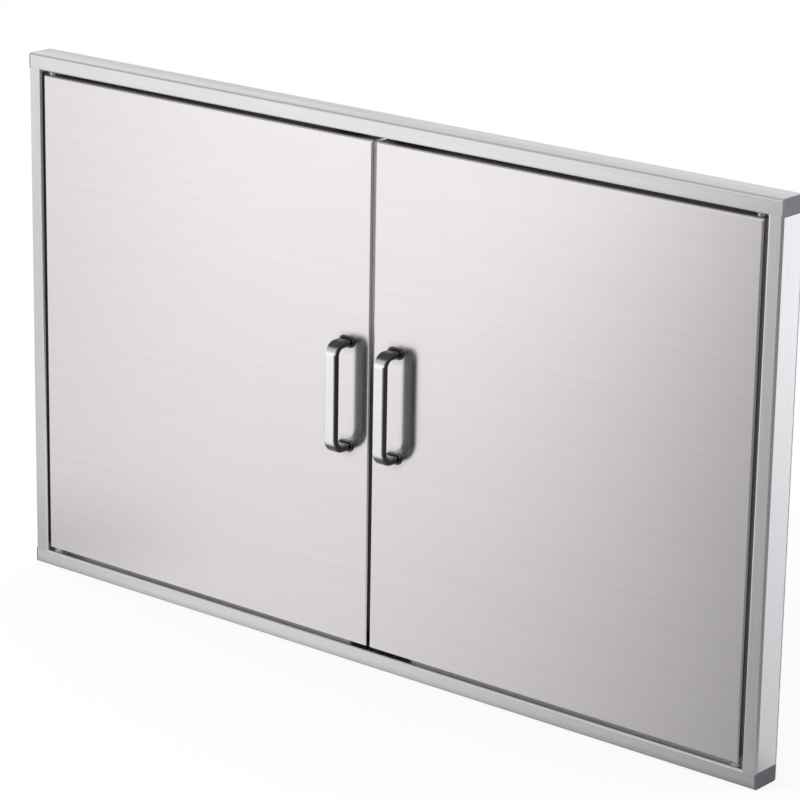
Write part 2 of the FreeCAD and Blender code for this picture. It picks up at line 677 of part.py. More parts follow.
def at_handle(piece, side):
    """Place a piece whose own origin is on the door's face at the handle's middle."""
    middle = f"({DOOR_X} - {HANDLE_IN_DOOR})"
    piece.place(x=f"{SIDES[side]} * {middle}", y=DOOR_FRONT)


def collars(side):
    """The collar round each of a handle's legs, on the door's face."""
    piece = Piece(f"{side}_handle_collars")
    rings = piece.sketch("XZ")
    for up in ENDS.values():
        leg = f"{up} * {LEG_Z}"
        rings.box("dim.handle_wide + 2 * dim.collar_rim",
                  "dim.handle_bar + 2 * dim.collar_rim", up=leg)
        rings.box("dim.handle_wide + 2 * dim.collar_fit",
                  "dim.handle_bar + 2 * dim.collar_fit", up=leg)
    piece.pad(rings, "dim.collar_high", toward=-1)
    outer = number("dim.handle_wide / 2 + dim.collar_rim")
    inner = number("dim.handle_wide / 2 + dim.collar_fit")
    top = number("-dim.collar_high")
    leg = number(LEG_Z)
    mid_wide = number("dim.handle_wide / 2 + dim.collar_rim / 2")
    mid_high = number("dim.handle_bar / 2 + dim.collar_rim / 2")

    def is_corner(edge, reach):
        return along(edge, Y) and abs(abs(points_on(edge)[1].x) - reach) < CLOSE

    def is_outer_rim(edge):
        middle = points_on(edge)[1]
        outside = abs(middle.x) > mid_wide or abs(abs(middle.z) - leg) > mid_high
        return on_plane(edge, Y, top) and outside

    piece.fillet("dim.handle_edge + dim.collar_rim", lambda edge: is_corner(edge, outer))
    piece.fillet("dim.handle_edge + dim.collar_fit", lambda edge: is_corner(edge, inner))
    piece.fillet("dim.collar_round", is_outer_rim)
    at_handle(piece, side)


def handle_screws(side):
    """The screws that hold a handle, with their heads on the inside of the door's skin."""
    piece = Piece(f"{side}_handle_screws")
    heads = piece.sketch("XZ", "dim.skin_sheet")
    shanks = piece.sketch("XZ", "dim.skin_sheet")
    for up in ENDS.values():
        heads.circle("0", f"{up} * {LEG_Z}", "dim.screw_head")
        shanks.circle("0", f"{up} * {LEG_Z}", SCREW_RADIUS)
    piece.pad(heads, "dim.screw_head_high")
    crown = number("dim.skin_sheet + dim.screw_head_high")
    piece.fillet("dim.screw_dome", lambda edge: on_plane(edge, Y, crown))
    piece.pad(shanks, "dim.skin_sheet + dim.screw_grip", toward=-1)
    at_handle(piece, side)


def hole_covers(side):
    """The caps in the liner's holes, through which the handle's screws are reached."""
    piece = Piece(f"{side}_hole_covers")
    rims = piece.sketch("XZ", "dim.door_thickness")
    plugs = piece.sketch("XZ", "dim.door_thickness")
    cavities = piece.sketch("XZ", "dim.door_thickness")
    for up in ENDS.values():
        leg = f"{up} * {LEG_Z}"
        rims.circle("0", leg, "dim.access_hole + dim.cover_rim")
        plugs.circle("0", leg, "dim.access_hole - dim.cover_fit")
        cavities.circle("0", leg, "dim.access_hole - dim.cover_fit - dim.cover_wall")
    piece.pad(rims, "dim.cover_high")
    crown = number("dim.door_thickness + dim.cover_high")
    piece.fillet("dim.cover_round", lambda edge: on_plane(edge, Y, crown))
    piece.pad(plugs, "dim.cover_plug", toward=-1)
    piece.pocket(cavities, "dim.cover_plug", toward=-1)
    at_handle(piece, side)


for side in SIDES:
    handle(side)
    collars(side)
    handle_screws(side)
    hole_covers(side)


# Pivots: bushes in the rails, a riveted pin under each door and a spring pin over it


def bush(end, side):
    """A flanged nylon bush pressed into a rail, with its flange in the gap over the door."""
    piece = Piece(f"{end}_{side}_pivot_bush")
    away = ENDS[end]
    bore = "dim.pin_radius + dim.pin_fit"
    half = piece.sketch("XZ")
    half.polygon([
        (bore, "0"),
        ("dim.bush_flange_radius", "0"),
        ("dim.bush_flange_radius", f"{away} * dim.bush_flange"),
        ("dim.bush_radius", f"{away} * dim.bush_flange"),
        ("dim.bush_radius", f"{away} * dim.bush_length"),
        (bore, f"{away} * dim.bush_length"),
    ])
    piece.revolve(half)
    piece.place(x=f"{SIDES[side]} * {PIVOT_X}", y=PIVOT_Y,
                z=f"{away} * ({DOORWAY_Z} - dim.bush_flange)")


def at_pivot(piece, side, end=None):
    """Place a piece on a door's pivot axis, at the door's middle or at one of its edges."""
    level = "0" if end is None else f"{ENDS[end]} * {DOOR_HIGH} / 2"
    piece.place(x=f"{SIDES[side]} * {PIVOT_X}", y=PIVOT_Y, z=level)


def washers(side):
    """The bright washers that carry a door on its lower bush and keep it down at the upper."""
    piece = Piece(f"{side}_pivot_washers")
    lower = piece.sketch("XY", f"-{DOOR_HIGH} / 2")
    upper = piece.sketch("XY", f"{DOOR_HIGH} / 2")
    for ring in (lower, upper):
        ring.circle("0", "0", "dim.washer_radius")
        ring.circle("0", "0", "dim.pin_radius + dim.pin_fit")
    piece.pad(lower, "dim.door_gap - dim.bush_flange", toward=-1)
    piece.pad(upper, "dim.door_gap - dim.bush_flange - dim.washer_play")
    at_pivot(piece, side)


def folded_bracket(piece, side, corners, inner_folds):
    """Extrude a folded bracket's section across the door's corner, with rounded folds."""
    section = piece.sketch("YZ", f"{SIDES[side]} * {BRACKET_OUT}")
    section.polygon(corners)
    piece.pad(section, f"{BRACKET_OUT} + dim.bracket_reach", toward=-SIDES[side])
    front = number(BRACKET_FRONT)
    inside = number(f"{BRACKET_FRONT} + dim.bracket_sheet")
    free_end = number("dim.bracket_foot")
    front_ends = [number(up) for across, up in corners if across == BRACKET_FRONT]
    outer_levels = [level for level in front_ends if abs(level - free_end) > CLOSE]
    inner_levels = [number(level) for level in inner_folds]

    def is_fold(edge, face, levels):
        on_level = any(on_plane(edge, Z, level) for level in levels)
        return along(edge, X) and on_plane(edge, Y, face) and on_level

    piece.fillet("dim.bracket_fold", lambda edge: is_fold(edge, front, outer_levels))
    piece.fillet("dim.bracket_fold - dim.bracket_sheet",
                 lambda edge: is_fold(edge, inside, inner_levels))


def lower_bracket(side):
    """The angle welded in a door's lower corner, which holds the riveted pin."""
    piece = Piece(f"{side}_lower_pivot_bracket")
    inner = f"({BRACKET_FRONT} + dim.bracket_sheet)"
    folded_bracket(piece, side, [
        (BRACKET_FRONT, "dim.skin_sheet"),
        ("dim.bracket_depth", "dim.skin_sheet"),
        ("dim.bracket_depth", GUIDE_TOP),
        (inner, GUIDE_TOP),
        (inner, "dim.bracket_foot"),
        (BRACKET_FRONT, "dim.bracket_foot"),
    ], [GUIDE_TOP])
    hole = piece.sketch("XY")
    hole.circle("0", "0", "dim.pin_radius + dim.pin_fit")
    piece.pocket(hole)
    at_pivot(piece, side, "bottom")


def upper_bracket(side):
    """The channel welded in a door's upper corner, which guides the spring pin."""
    piece = Piece(f"{side}_upper_pivot_bracket")
    inner = f"({BRACKET_FRONT} + dim.bracket_sheet)"
    foot = f"-({GUIDE_LOW} + dim.bracket_sheet)"
    folded_bracket(piece, side, [
        (BRACKET_FRONT, "-dim.skin_sheet"),
        ("dim.bracket_depth", "-dim.skin_sheet"),
        ("dim.bracket_depth", f"-{GUIDE_TOP}"),
        (inner, f"-{GUIDE_TOP}"),
        (inner, f"-{GUIDE_LOW}"),
        ("dim.bracket_depth", f"-{GUIDE_LOW}"),
        ("dim.bracket_depth", foot),
        (BRACKET_FRONT, foot),
    ], [f"-{GUIDE_TOP}", f"-{GUIDE_LOW}"])
    hole = piece.sketch("XY")
    hole.circle("0", "0", "dim.pin_radius + dim.pin_fit")
    piece.pocket(hole, toward=-1)
    at_pivot(piece, side, "top")


def lower_pin(side):
    """The fixed pin under a door: a shank with a chamfered nose, riveted over the angle."""
    piece = Piece(f"{side}_lower_pivot_pin")
    tip = "-(dim.door_gap + dim.pin_reach)"
    crown = f"{GUIDE_TOP} + dim.rivet_head_high"
    half = piece.sketch("XZ")
    half.polygon([
        ("0", crown),
        ("dim.rivet_head", crown),
        ("dim.rivet_head", GUIDE_TOP),
        ("dim.pin_radius", GUIDE_TOP),
        ("dim.pin_radius", f"{tip} + dim.pin_nose"),
        ("dim.pin_radius - dim.pin_nose", tip),
        ("0", tip),
    ])
    piece.revolve(half)
    at_pivot(piece, side, "bottom")


def spring_pin(side):
    """The pin over a door, bent back at its lower end into a pull behind the liner."""
    piece = Piece(f"{side}_spring_pin")
    tip = "(dim.door_gap + dim.pin_reach)"
    line = piece.sketch("YZ")
    line.route([("0", tip), ("0", f"-{PULL_DROP}"), ("dim.pin_pull", f"-{PULL_DROP}")],
               "dim.pin_bend")
    section = piece.sketch("XY", tip)
    section.circle("0", "0", "dim.pin_radius")
    piece.sweep(section, line)
    nose = number(tip)
    end = number("dim.pin_pull")
    piece.chamfer("dim.pin_nose",
                  lambda edge: on_plane(edge, Z, nose) or on_plane(edge, Y, end))
    groove = piece.sketch("XZ")
    groove.rectangle("dim.pin_radius - dim.clip_groove", "dim.pin_radius + dim.clip_groove",
                     f"-{GUIDE_TOP} - dim.clip_sheet", f"-{GUIDE_TOP}")
    piece.revolve(groove, "Groove")
    at_pivot(piece, side, "top")


def pin_clip(side):
    """The clip snapped into the spring pin's groove, which the spring lifts to the channel."""
    piece = Piece(f"{side}_pin_clip")
    bore = "(dim.pin_radius - dim.clip_groove + dim.pin_fit)"
    ring = piece.sketch("XY", f"-{GUIDE_TOP}")
    ring.circle("0", "0", "dim.clip_radius")
    ring.circle("0", "0", bore)
    piece.pad(ring, "dim.clip_sheet", toward=-1)
    mouth = piece.sketch("XY", f"-{GUIDE_TOP}")
    mouth.rectangle("-dim.clip_mouth / 2", "dim.clip_mouth / 2",
                    "0", "dim.clip_radius + dim.clip_sheet")
    piece.pocket(mouth, "dim.clip_sheet", toward=-1)
    at_pivot(piece, side, "top")


def pin_spring(side):
    """The coil spring round the pin, between the channel's lower side and the clip."""
    piece = Piece(f"{side}_pin_spring")
    wire = piece.sketch("XZ")
    half = "dim.spring_wire / 2"
    wire.octagon(f"dim.pin_radius + dim.spring_play + {half}", f"{half} - {GUIDE_LOW}", half)
    made = piece.feature("AdditiveHelix", wire)
    made.ReferenceAxis = (wire.sketch, ["V_Axis"])
    made.Mode = "height-turns-angle"
    made.setExpression("Height", "dim.spring_length - dim.spring_wire")
    made.setExpression("Turns", "dim.spring_turns")
    doc.recompute()
    at_pivot(piece, side, "top")


for end in ENDS:
    for side in SIDES:
        bush(end, side)
for side in SIDES:
    washers(side)
    lower_bracket(side)
    upper_bracket(side)
    lower_pin(side)
    spring_pin(side)
    pin_clip(side)
    pin_spring(side)


# Magnetic catches under the top rail, and strike plates on the doors


def at_catch(piece, side):
    """Place a piece whose own origin is on the rail, over the front of a catch's housing."""
    piece.place(x=f"{SIDES[side]} * dim.catch_offset", y=CATCH_Y, z=DOORWAY_Z)


def catch_housing(side):
    """The moulded housing of a catch, with a slotted lug at each end."""
    piece = Piece(f"{side}_catch_housing")
    block = piece.sketch("XZ")
    block.rectangle("-dim.catch_wide / 2", "dim.catch_wide / 2", "-dim.catch_high", "0")
    piece.pad(block, "dim.catch_deep")
    piece.fillet("dim.catch_round", lambda edge: not on_plane(edge, Z, 0))
    lugs = piece.sketch("XZ", "dim.catch_deep / 2")
    lugs.rectangle("-dim.catch_wide / 2 - dim.catch_lug", "dim.catch_wide / 2 + dim.catch_lug",
                   "-dim.catch_lug_sheet", "0")
    piece.pad(lugs, "dim.catch_lug_deep", both=True)
    ends = number("dim.catch_wide / 2 + dim.catch_lug")
    piece.fillet("2 * dim.catch_round", lambda edge: along(edge, Z)
                 and abs(abs(points_on(edge)[1].x) - ends) < CLOSE)
    slots = piece.sketch("XY")
    half = "(dim.catch_screw + dim.catch_slot_play)"
    reach = f"(dim.catch_slot_travel / 2 + {half})"
    for lug in SIDES.values():
        slots.slot(f"{lug} * {CATCH_SCREW_X}", f"dim.catch_deep / 2 - {reach}",
                   f"dim.catch_deep / 2 + {reach}", half)
    piece.pocket(slots, "2 * dim.catch_lug_sheet", toward=-1)
    cavity = piece.sketch("XZ")
    cavity.box("dim.pole_wide", "dim.magnet_high + 2 * dim.pole_sheet", up="-dim.magnet_drop")
    piece.pocket(cavity, "dim.pole_deep")
    at_catch(piece, side)


def magnet(side):
    """The magnet of a catch, between its pole plates."""
    piece = Piece(f"{side}_catch_magnet")
    block = piece.sketch("XZ", "dim.pole_deep")
    block.box("dim.pole_wide", "dim.magnet_high", up="-dim.magnet_drop")
    piece.pad(block, "dim.pole_deep - dim.magnet_setback", toward=-1)
    at_catch(piece, side)


def poles(side):
    """The two steel plates that carry the magnet's pull to the door's strike plate."""
    piece = Piece(f"{side}_catch_poles")
    plates = piece.sketch("XZ", "dim.pole_deep")
    for up in ENDS.values():
        plates.box("dim.pole_wide", "dim.pole_sheet",
                   up=f"({up} * (dim.magnet_high + dim.pole_sheet) / 2 - dim.magnet_drop)")
    piece.pad(plates, "dim.pole_deep + dim.pole_out", toward=-1)
    at_catch(piece, side)


def catch_screws():
    """The screws through the housings' lugs into the top rail."""
    piece = Piece("catch_screws")
    heads = piece.sketch("XY", "-dim.catch_lug_sheet")
    shanks = piece.sketch("XY", "-dim.catch_lug_sheet")
    for side in SIDES.values():
        for lug in SIDES.values():
            across = f"{side} * dim.catch_offset + {lug} * {CATCH_SCREW_X}"
            heads.circle(across, "dim.catch_deep / 2", "dim.catch_screw_head")
            shanks.circle(across, "dim.catch_deep / 2", "dim.catch_screw")
    piece.pad(heads, "dim.catch_screw_head_high", toward=-1)
    crown = number("-dim.catch_lug_sheet - dim.catch_screw_head_high")
    piece.fillet("dim.catch_screw_dome", lambda edge: on_plane(edge, Z, crown))
    piece.pad(shanks, "dim.catch_lug_sheet + dim.catch_screw_grip")
    piece.place(y=CATCH_Y, z=DOORWAY_Z)


def strike_plate(side):
    """The plate on a door's liner that the magnet holds, with countersunk holes."""
    piece = Piece(f"{side}_strike_plate")
    plate = piece.sketch("XZ")
    plate.box("dim.strike_wide", "dim.strike_high")
    for out in SIDES.values():
        plate.circle(f"{out} * {RIVET_X}", "0", "dim.strike_rivet + dim.rivet_fit")
    piece.pad(plate, "dim.strike_sheet")
    quarter_high = number("dim.strike_high / 4")
    piece.fillet("dim.strike_corner", lambda edge: along(edge, Y)
                 and abs(points_on(edge)[1].z) > quarter_high)
    back = number("dim.strike_sheet")
    piece.chamfer("dim.strike_rivet_head",
                  lambda edge: on_plane(edge, Y, back) and edge.isClosed())
    at_strike(piece, side)


def at_strike(piece, side):
    """Place a piece whose own origin is on the liner's back at the strike plate's middle."""
    piece.place(x=f"{SIDES[side]} * dim.catch_offset", y=DOOR_BACK,
                z=f"{DOOR_HIGH} / 2 - {STRIKE_DROP}")


def strike_rivets(side):
    """The countersunk rivets of a strike plate, spread inside the liner."""
    piece = Piece(f"{side}_strike_rivets")
    heads = piece.sketch("XZ", "dim.strike_sheet")
    shanks = piece.sketch("XZ", "dim.strike_sheet")
    tails = piece.sketch("XZ", "-dim.liner_sheet")
    for out in SIDES.values():
        heads.circle(f"{out} * {RIVET_X}", "0", "dim.strike_rivet + dim.strike_rivet_head")
        shanks.circle(f"{out} * {RIVET_X}", "0", "dim.strike_rivet")
        tails.circle(f"{out} * {RIVET_X}", "0", "dim.strike_rivet_spread")
    piece.pad(shanks, "dim.strike_sheet + dim.liner_sheet", toward=-1)
    piece.pad(tails, "dim.strike_rivet_tail", toward=-1)
    piece.pad(heads, "dim.strike_rivet_head", toward=-1)
    under = number("dim.strike_sheet - dim.strike_rivet_head")
    wide = number("dim.strike_rivet")
    piece.chamfer("dim.strike_rivet_head - dim.rivet_fit", lambda edge: edge.isClosed()
                  and on_plane(edge, Y, under) and edge.Length > 6.5 * wide)
    at_strike(piece, side)


for side in SIDES:
    catch_housing(side)
    magnet(side)
    poles(side)
    strike_plate(side)
    strike_rivets(side)
catch_screws()


# Stop behind the doors' lower edge


def stop_angle():
    """The angle welded on the bottom rail behind both doors."""
    piece = Piece("stop_angle")
    section = piece.sketch("YZ")
    section.polygon([
        ("0", "0"),
        ("dim.stop_deep", "0"),
        ("dim.stop_deep", "dim.stop_sheet"),
        ("dim.stop_sheet", "dim.stop_sheet"),
        ("dim.stop_sheet", "dim.stop_high"),
        ("0", "dim.stop_high"),
    ])
    piece.pad(section, "dim.stop_wide", both=True)
    piece.fillet("dim.stop_fold", lambda edge: along(edge, X)
                 and on_plane(edge, Y, 0) and on_plane(edge, Z, 0))
    inner = number("dim.stop_sheet")
    piece.fillet("dim.stop_fold - dim.stop_sheet", lambda edge: along(edge, X)
                 and on_plane(edge, Y, inner) and on_plane(edge, Z, inner))
    holes = piece.sketch("XZ")
    for side in SIDES.values():
        holes.circle(f"{side} * dim.bumper_offset", "dim.bumper_rise",
                     "dim.bumper_stem + dim.bumper_fit")
    piece.pocket(holes)
    at_stop(piece)


def at_stop(piece):
    """Place a piece whose own origin is on the bottom rail under the angle's front."""
    piece.place(y=f"{DOOR_BACK} + dim.bumper_pad", z=f"-{DOORWAY_Z}")


def bumpers():
    """The rubber buttons in the angle that each door closes on."""
    piece = Piece("stop_bumpers")
    pads = piece.sketch("XZ")
    stems = piece.sketch("XZ")
    barbs = piece.sketch("XZ", "dim.stop_sheet")
    for side in SIDES.values():
        across = f"{side} * dim.bumper_offset"
        pads.circle(across, "dim.bumper_rise", "dim.bumper_radius")
        stems.circle(across, "dim.bumper_rise", "dim.bumper_stem")
        barbs.circle(across, "dim.bumper_rise", "dim.bumper_barb")
    piece.pad(pads, "dim.bumper_pad", toward=-1)
    face = number("-dim.bumper_pad")
    piece.fillet("dim.bumper_round", lambda edge: on_plane(edge, Y, face))
    piece.pad(stems, "dim.stop_sheet")
    piece.pad(barbs, "dim.bumper_barb_long")
    at_stop(piece)


stop_angle()
bumpers()


# Check and write

doc.recompute()
os.makedirs("parts", exist_ok=True)
for thing in doc.Objects:
    if "Invalid" in thing.State or "Error" in thing.State:
        raise ValueError(f"{thing.Name} ({thing.Label}) failed: {thing.State}")
for body in pieces:
    if body.Shape.isNull() or not body.Shape.isValid():
        raise ValueError(f"{body.Label} has no valid solid")
for body in pieces:
    body.Shape.exportStep(f"parts/{body.Label}.step")
    print(body.Label, len(body.Shape.Solids), round(body.Shape.Volume, 1))
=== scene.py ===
import math

import bpy
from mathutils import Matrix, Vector


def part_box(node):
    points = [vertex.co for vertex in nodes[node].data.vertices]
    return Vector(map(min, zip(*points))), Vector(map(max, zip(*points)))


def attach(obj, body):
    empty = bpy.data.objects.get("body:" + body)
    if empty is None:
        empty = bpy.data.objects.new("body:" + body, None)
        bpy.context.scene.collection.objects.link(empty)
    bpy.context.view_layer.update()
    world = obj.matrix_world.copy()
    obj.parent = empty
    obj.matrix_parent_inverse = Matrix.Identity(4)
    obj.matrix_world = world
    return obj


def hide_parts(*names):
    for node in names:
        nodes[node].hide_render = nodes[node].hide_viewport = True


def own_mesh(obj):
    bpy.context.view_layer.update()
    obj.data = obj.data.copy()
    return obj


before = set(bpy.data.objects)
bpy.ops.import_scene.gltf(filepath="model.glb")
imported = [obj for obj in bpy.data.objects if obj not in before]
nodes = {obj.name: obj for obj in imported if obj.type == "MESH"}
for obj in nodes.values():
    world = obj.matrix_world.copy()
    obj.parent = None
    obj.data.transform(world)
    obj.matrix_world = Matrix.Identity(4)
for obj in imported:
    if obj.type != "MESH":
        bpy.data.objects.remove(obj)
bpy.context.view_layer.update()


# Tube frame: two rails over the full width and two stiles coped between them, of drawn stainless
# tube. The joints are TIG welded and ground flush, and every face is belt-ground along its tube.


class Socket:
    """A value in a finish: arithmetic on it adds Math nodes."""

    def __init__(self, finish, link):
        self.finish = finish
        self.link = link

    def combined(self, operation, *values):
        return self.finish.node("Math", {"operation": operation}, *values)["Value"]

    def __add__(self, other):
        return self.combined("ADD", self, other)

    def __radd__(self, other):
        return self.combined("ADD", other, self)

    def __sub__(self, other):
        return self.combined("SUBTRACT", self, other)

    def __rsub__(self, other):
        return self.combined("SUBTRACT", other, self)

    def __mul__(self, other):
        return self.combined("MULTIPLY", self, other)

    def __rmul__(self, other):
        return self.combined("MULTIPLY", other, self)

    def __pow__(self, other):
        return self.combined("POWER", self, other)

    def __mod__(self, other):
        return self.combined("FLOORED_MODULO", self, other)

    def __abs__(self):
        return self.combined("ABSOLUTE", self)

    def or_more(self, other):
        """The larger of two values."""
        return self.combined("MAXIMUM", self, other)

    def at_most(self, limit):
        """The value, or a limit where it is larger."""
        return self.combined("MINIMUM", self, limit)


class Finish:
    """A surface worked out by shader nodes, for a material or for the world."""

    def __init__(self, holder):
        self.holder = holder
        self.holder.use_nodes = True
        self.tree = self.holder.node_tree
        self.tree.nodes.clear()
        where = self.node("TexCoord", {})
        self.place = where["Object"]
        self.x, self.y, self.z = self.node("SeparateXYZ", {}, self.place).values()
        self.facing = self.node("SeparateXYZ", {}, where["Normal"])

    def node(self, kind, settings, *values, **named):
        """Add a node: its type, its settings, then its sockets' values or links, in order or named."""
        made = self.tree.nodes.new(f"ShaderNode{kind}")
        for name, setting in settings.items():
            setattr(made, name, setting)
        usable = [socket for socket in made.inputs if socket.enabled]
        by_name = {socket.name.replace(" ", "_"): socket for socket in usable}
        pairs = list(zip(usable, values)) + [(by_name[name], value) for name, value in named.items()]
        for socket, value in pairs:
            if isinstance(value, Socket):
                self.tree.links.new(value.link, socket)
            else:
                socket.default_value = value
        return {out.name: Socket(self, out) for out in made.outputs if out.enabled}

    def rise(self, value, low, high):
        """Go smoothly from 0 to 1 while a value goes from low to high."""
        return self.node("MapRange", {"interpolation_type": "SMOOTHSTEP"}, value, low, high)["Result"]

    def noise(self, size, stretch=(1, 1, 1), detail=2, offset=0):
        """Smooth noise between 0 and 1, in grains of a size in metres, drawn out by a stretch."""
        scale = [1 / (size * times) for times in stretch]
        spread = self.node("Mapping", {}, self.place, (offset,) * 3, (0, 0, 0), scale)["Vector"]
        return self.node("TexNoise", {}, spread, 1, detail)["Fac"]

    def mix(self, share, first, second):
        """Blend two colours."""
        return self.node("Mix", {"data_type": "RGBA"}, share, (*first, 1), (*second, 1))["Result"]

    def scaled(self, colour, factor):
        """Make a colour lighter or darker."""
        return self.node("VectorMath", {"operation": "SCALE"}, colour, Scale=factor)["Vector"]

    def relief(self, height):
        """Bump the surface by a height in metres."""
        return self.node("Bump", {}, Strength=1, Distance=1, Height=height)["Normal"]

    def crevice_shade(self, reach):
        """Painted crevice shade: 1 in the open and less in crevices narrower than a reach."""
        return self.node("AmbientOcclusion", {"samples": 6}, Distance=reach)["AO"]

    def rounding(self):
        """1 on rounded edges and 0 on faces square to an axis."""
        across, along, up = [abs(way) for way in self.facing.values()]
        return 1 - self.rise(across.or_more(along).or_more(up), 0.9, 0.995)

    def surface(self, **sockets):
        """Close the material with a principled shader."""
        shader = self.node("BsdfPrincipled", {}, **sockets)["BSDF"]
        self.node("OutputMaterial", {}, shader)
        return self.holder


def new_finish(name):
    """A finish for a new material."""
    return Finish(bpy.data.materials.new(name))


def dress(material, *node_names):
    """Put a material on CAD nodes."""
    for name in node_names:
        mesh = nodes[name].data
        mesh.materials.clear()
        mesh.materials.append(material)


X, Z = 0, 2
TUBE_PALE = (0.885, 0.89, 0.885)
TUBE_DULL = (0.79, 0.795, 0.79)
# Painted light and shade: each tube scales the same steel by its own level, the left stile darker and
# the right stile lighter.
RAIL_PAINTED_LEVEL = 0.955
LEFT_STILE_PAINTED_SHADE = 0.90
RIGHT_STILE_PAINTED_LIGHT = 1.05
GRAIN_LONG = 60
CROSSWAYS_TURN = 0.25
SEAM_WIDE = 0.0012
SEAM_END = 0.0005
stile_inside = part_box("right_stile")[0].x
joint_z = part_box("top_rail")[0].z


def tube_steel(name, grain_axis, grain_turn, painted_level):
    """Belt-ground tube with its grain along an axis and finer at the welds, its colour scaled by a
    painted level and darkened by painted shade in crevices, less on faces turned up.
    """
    steel = new_finish(name)
    stretch = [1, 1, 1]
    stretch[grain_axis] = GRAIN_LONG
    scratches = steel.noise(0.0005, stretch, 3)
    bands = steel.noise(0.004, stretch, 2, offset=3)
    cloud = steel.noise(0.12, detail=3, offset=9)
    edge = steel.rounding()
    air = steel.crevice_shade(0.010)
    colour = steel.mix(bands, TUBE_DULL, TUBE_PALE)
    # Painted shade: the colour darkens in crevices, less on faces turned up, where light falls on
    # them.
    painted_gap_shade = 0.65 - 0.35 * steel.rise(steel.facing["Z"], 0.7, 0.95)
    level = painted_level * (0.94 + 0.10 * scratches + 0.06 * edge) * (1 - painted_gap_shade * (1 - air))
    seam = 1 - steel.rise(abs(abs(steel.z) - joint_z), 0.0, SEAM_WIDE)
    seam = seam * steel.rise(abs(steel.x), stile_inside - SEAM_END, stile_inside + SEAM_END)
    rough = 0.19 + 0.08 * scratches + 0.05 * cloud - 0.05 * edge - 0.05 * seam
    ground = steel.relief(0.0000012 * scratches + 0.000006 * bands)
    return steel.surface(Base_Color=steel.scaled(colour, level), Metallic=1.0, Roughness=rough,
                         Anisotropic=0.6, Anisotropic_Rotation=grain_turn, Normal=ground)


dress(tube_steel("rail_steel", X, CROSSWAYS_TURN, RAIL_PAINTED_LEVEL), "bottom_rail", "top_rail")
dress(tube_steel("left_stile_steel", Z, 0, LEFT_STILE_PAINTED_SHADE), "left_stile")
dress(tube_steel("right_stile_steel", Z, 0, RIGHT_STILE_PAINTED_LIGHT), "right_stile")


# End plugs: moulded caps of dark grey nylon, pressed into the rails' open ends. The face has the
# fine spark texture of its mould and a smoother rim, and the upper plugs are painted paler, as painted
# light from above.

SIDES = ("left", "right")
ENDS = ("bottom", "top")
PLUG_GREY = (0.105, 0.102, 0.12)
PLUG_PALE = (0.235, 0.24, 0.28)
PLUG_LIGHT_FROM = -0.3
PLUG_LIGHT_TO = 0.3

plug = new_finish("plug_plastic")
plug_grain = plug.noise(0.0006, detail=4)
plug_cloud = plug.noise(0.015, detail=3, offset=4)
plug_rim = plug.rounding()
# Painted light: plugs that sit higher are paler.
plug_top_light = plug.rise(plug.z, PLUG_LIGHT_FROM, PLUG_LIGHT_TO)
plug_share = 0.3 * plug_cloud + 0.3 * plug_rim + 0.6 * plug_top_light
plug_colour = plug.mix(plug_share, PLUG_GREY, PLUG_PALE)
# Painted shade darkens the plug in crevices.
plug_level = (0.9 + 0.2 * plug_grain) * (0.4 + 0.6 * plug.crevice_shade(0.004))
plug_material = plug.surface(Base_Color=plug.scaled(plug_colour, plug_level),
                             Roughness=0.55 - 0.18 * plug_rim + 0.1 * plug_grain,
                             Normal=plug.relief(0.00003 * plug_grain))
for end in ENDS:
    for side in SIDES:
        dress(plug_material, f"{end}_{side}_end_plug")


# Seat flange and sleeve: folded 1.2 mm stainless sheet with a cold-rolled mill finish. The flange
# lies on the island and the sleeve lines its cut-out. The flange is stitch welded to the tubes.

MILL_STEEL = (0.66, 0.66, 0.67)
MILL_STEEL_DULL = (0.56, 0.56, 0.575)
ROLLED_LONG = 40


def mill_steel(name, rolled):
    """Cold-rolled sheet: a cloudy even grey with faint roller lines and a few handling marks, with
    painted shade in crevices.
    """
    sheet = new_finish(name)
    stretch = [1, 1, 1]
    stretch[rolled] = ROLLED_LONG
    lines = sheet.noise(0.0012, stretch, 3)
    cloud = sheet.noise(0.06, detail=4, offset=7)
    rub = sheet.rise(sheet.noise(0.018, (1, 1, 3), 3, offset=15), 0.55, 0.75)
    edge = sheet.rounding()
    air = sheet.crevice_shade(0.010)
    colour = sheet.mix(cloud, MILL_STEEL_DULL, MILL_STEEL)
    # Painted shade: the colour darkens in crevices.
    level = (0.95 + 0.10 * lines + 0.08 * edge) * (0.25 + 0.75 * air ** 1.5)
    rough = 0.30 + 0.10 * cloud + 0.08 * rub - 0.10 * edge
    return sheet.surface(Base_Color=sheet.scaled(colour, level), Metallic=1.0, Roughness=rough,
                         Normal=sheet.relief(0.000004 * lines + 0.000008 * rub))


sheet_material = mill_steel("mill_steel_across", X)
upright_material = mill_steel("mill_steel_upright", Z)
dress(sheet_material, "seat_flange", "bottom_sleeve", "top_sleeve")
dress(upright_material, "left_sleeve", "right_sleeve")

BEAD_LONG = 0.014
BEAD_RADIUS = 0.0011
BEAD_SHAPE = (0.9, 1.0, 0.95)
BEAD_SEAT = 0.0017
BEAD_INSET = 0.0004
BEAD_VOXEL = 0.00022
RIPPLES = 9
RIPPLE_STEP = (BEAD_LONG - 2 * BEAD_RADIUS) / (RIPPLES - 1)
RAIL_PLACES = (-0.45, -0.27, -0.12, 0.12, 0.27, 0.45)
STILE_PLACES = (-0.22, -0.08, 0.08, 0.22)
SMOOTH_UNDER = math.radians(40)
UPRIGHT = (0, math.radians(90), 0)


def deselect():
    bpy.ops.object.select_all(action="DESELECT")


def only(piece):
    """Select one object and make it active."""
    deselect()
    piece.select_set(True)
    bpy.context.view_layer.objects.active = piece


def settle(piece):
    """Put an object's place, turn and scale into its mesh."""
    only(piece)
    bpy.ops.object.transform_apply(location=True, rotation=True, scale=True)
    return piece


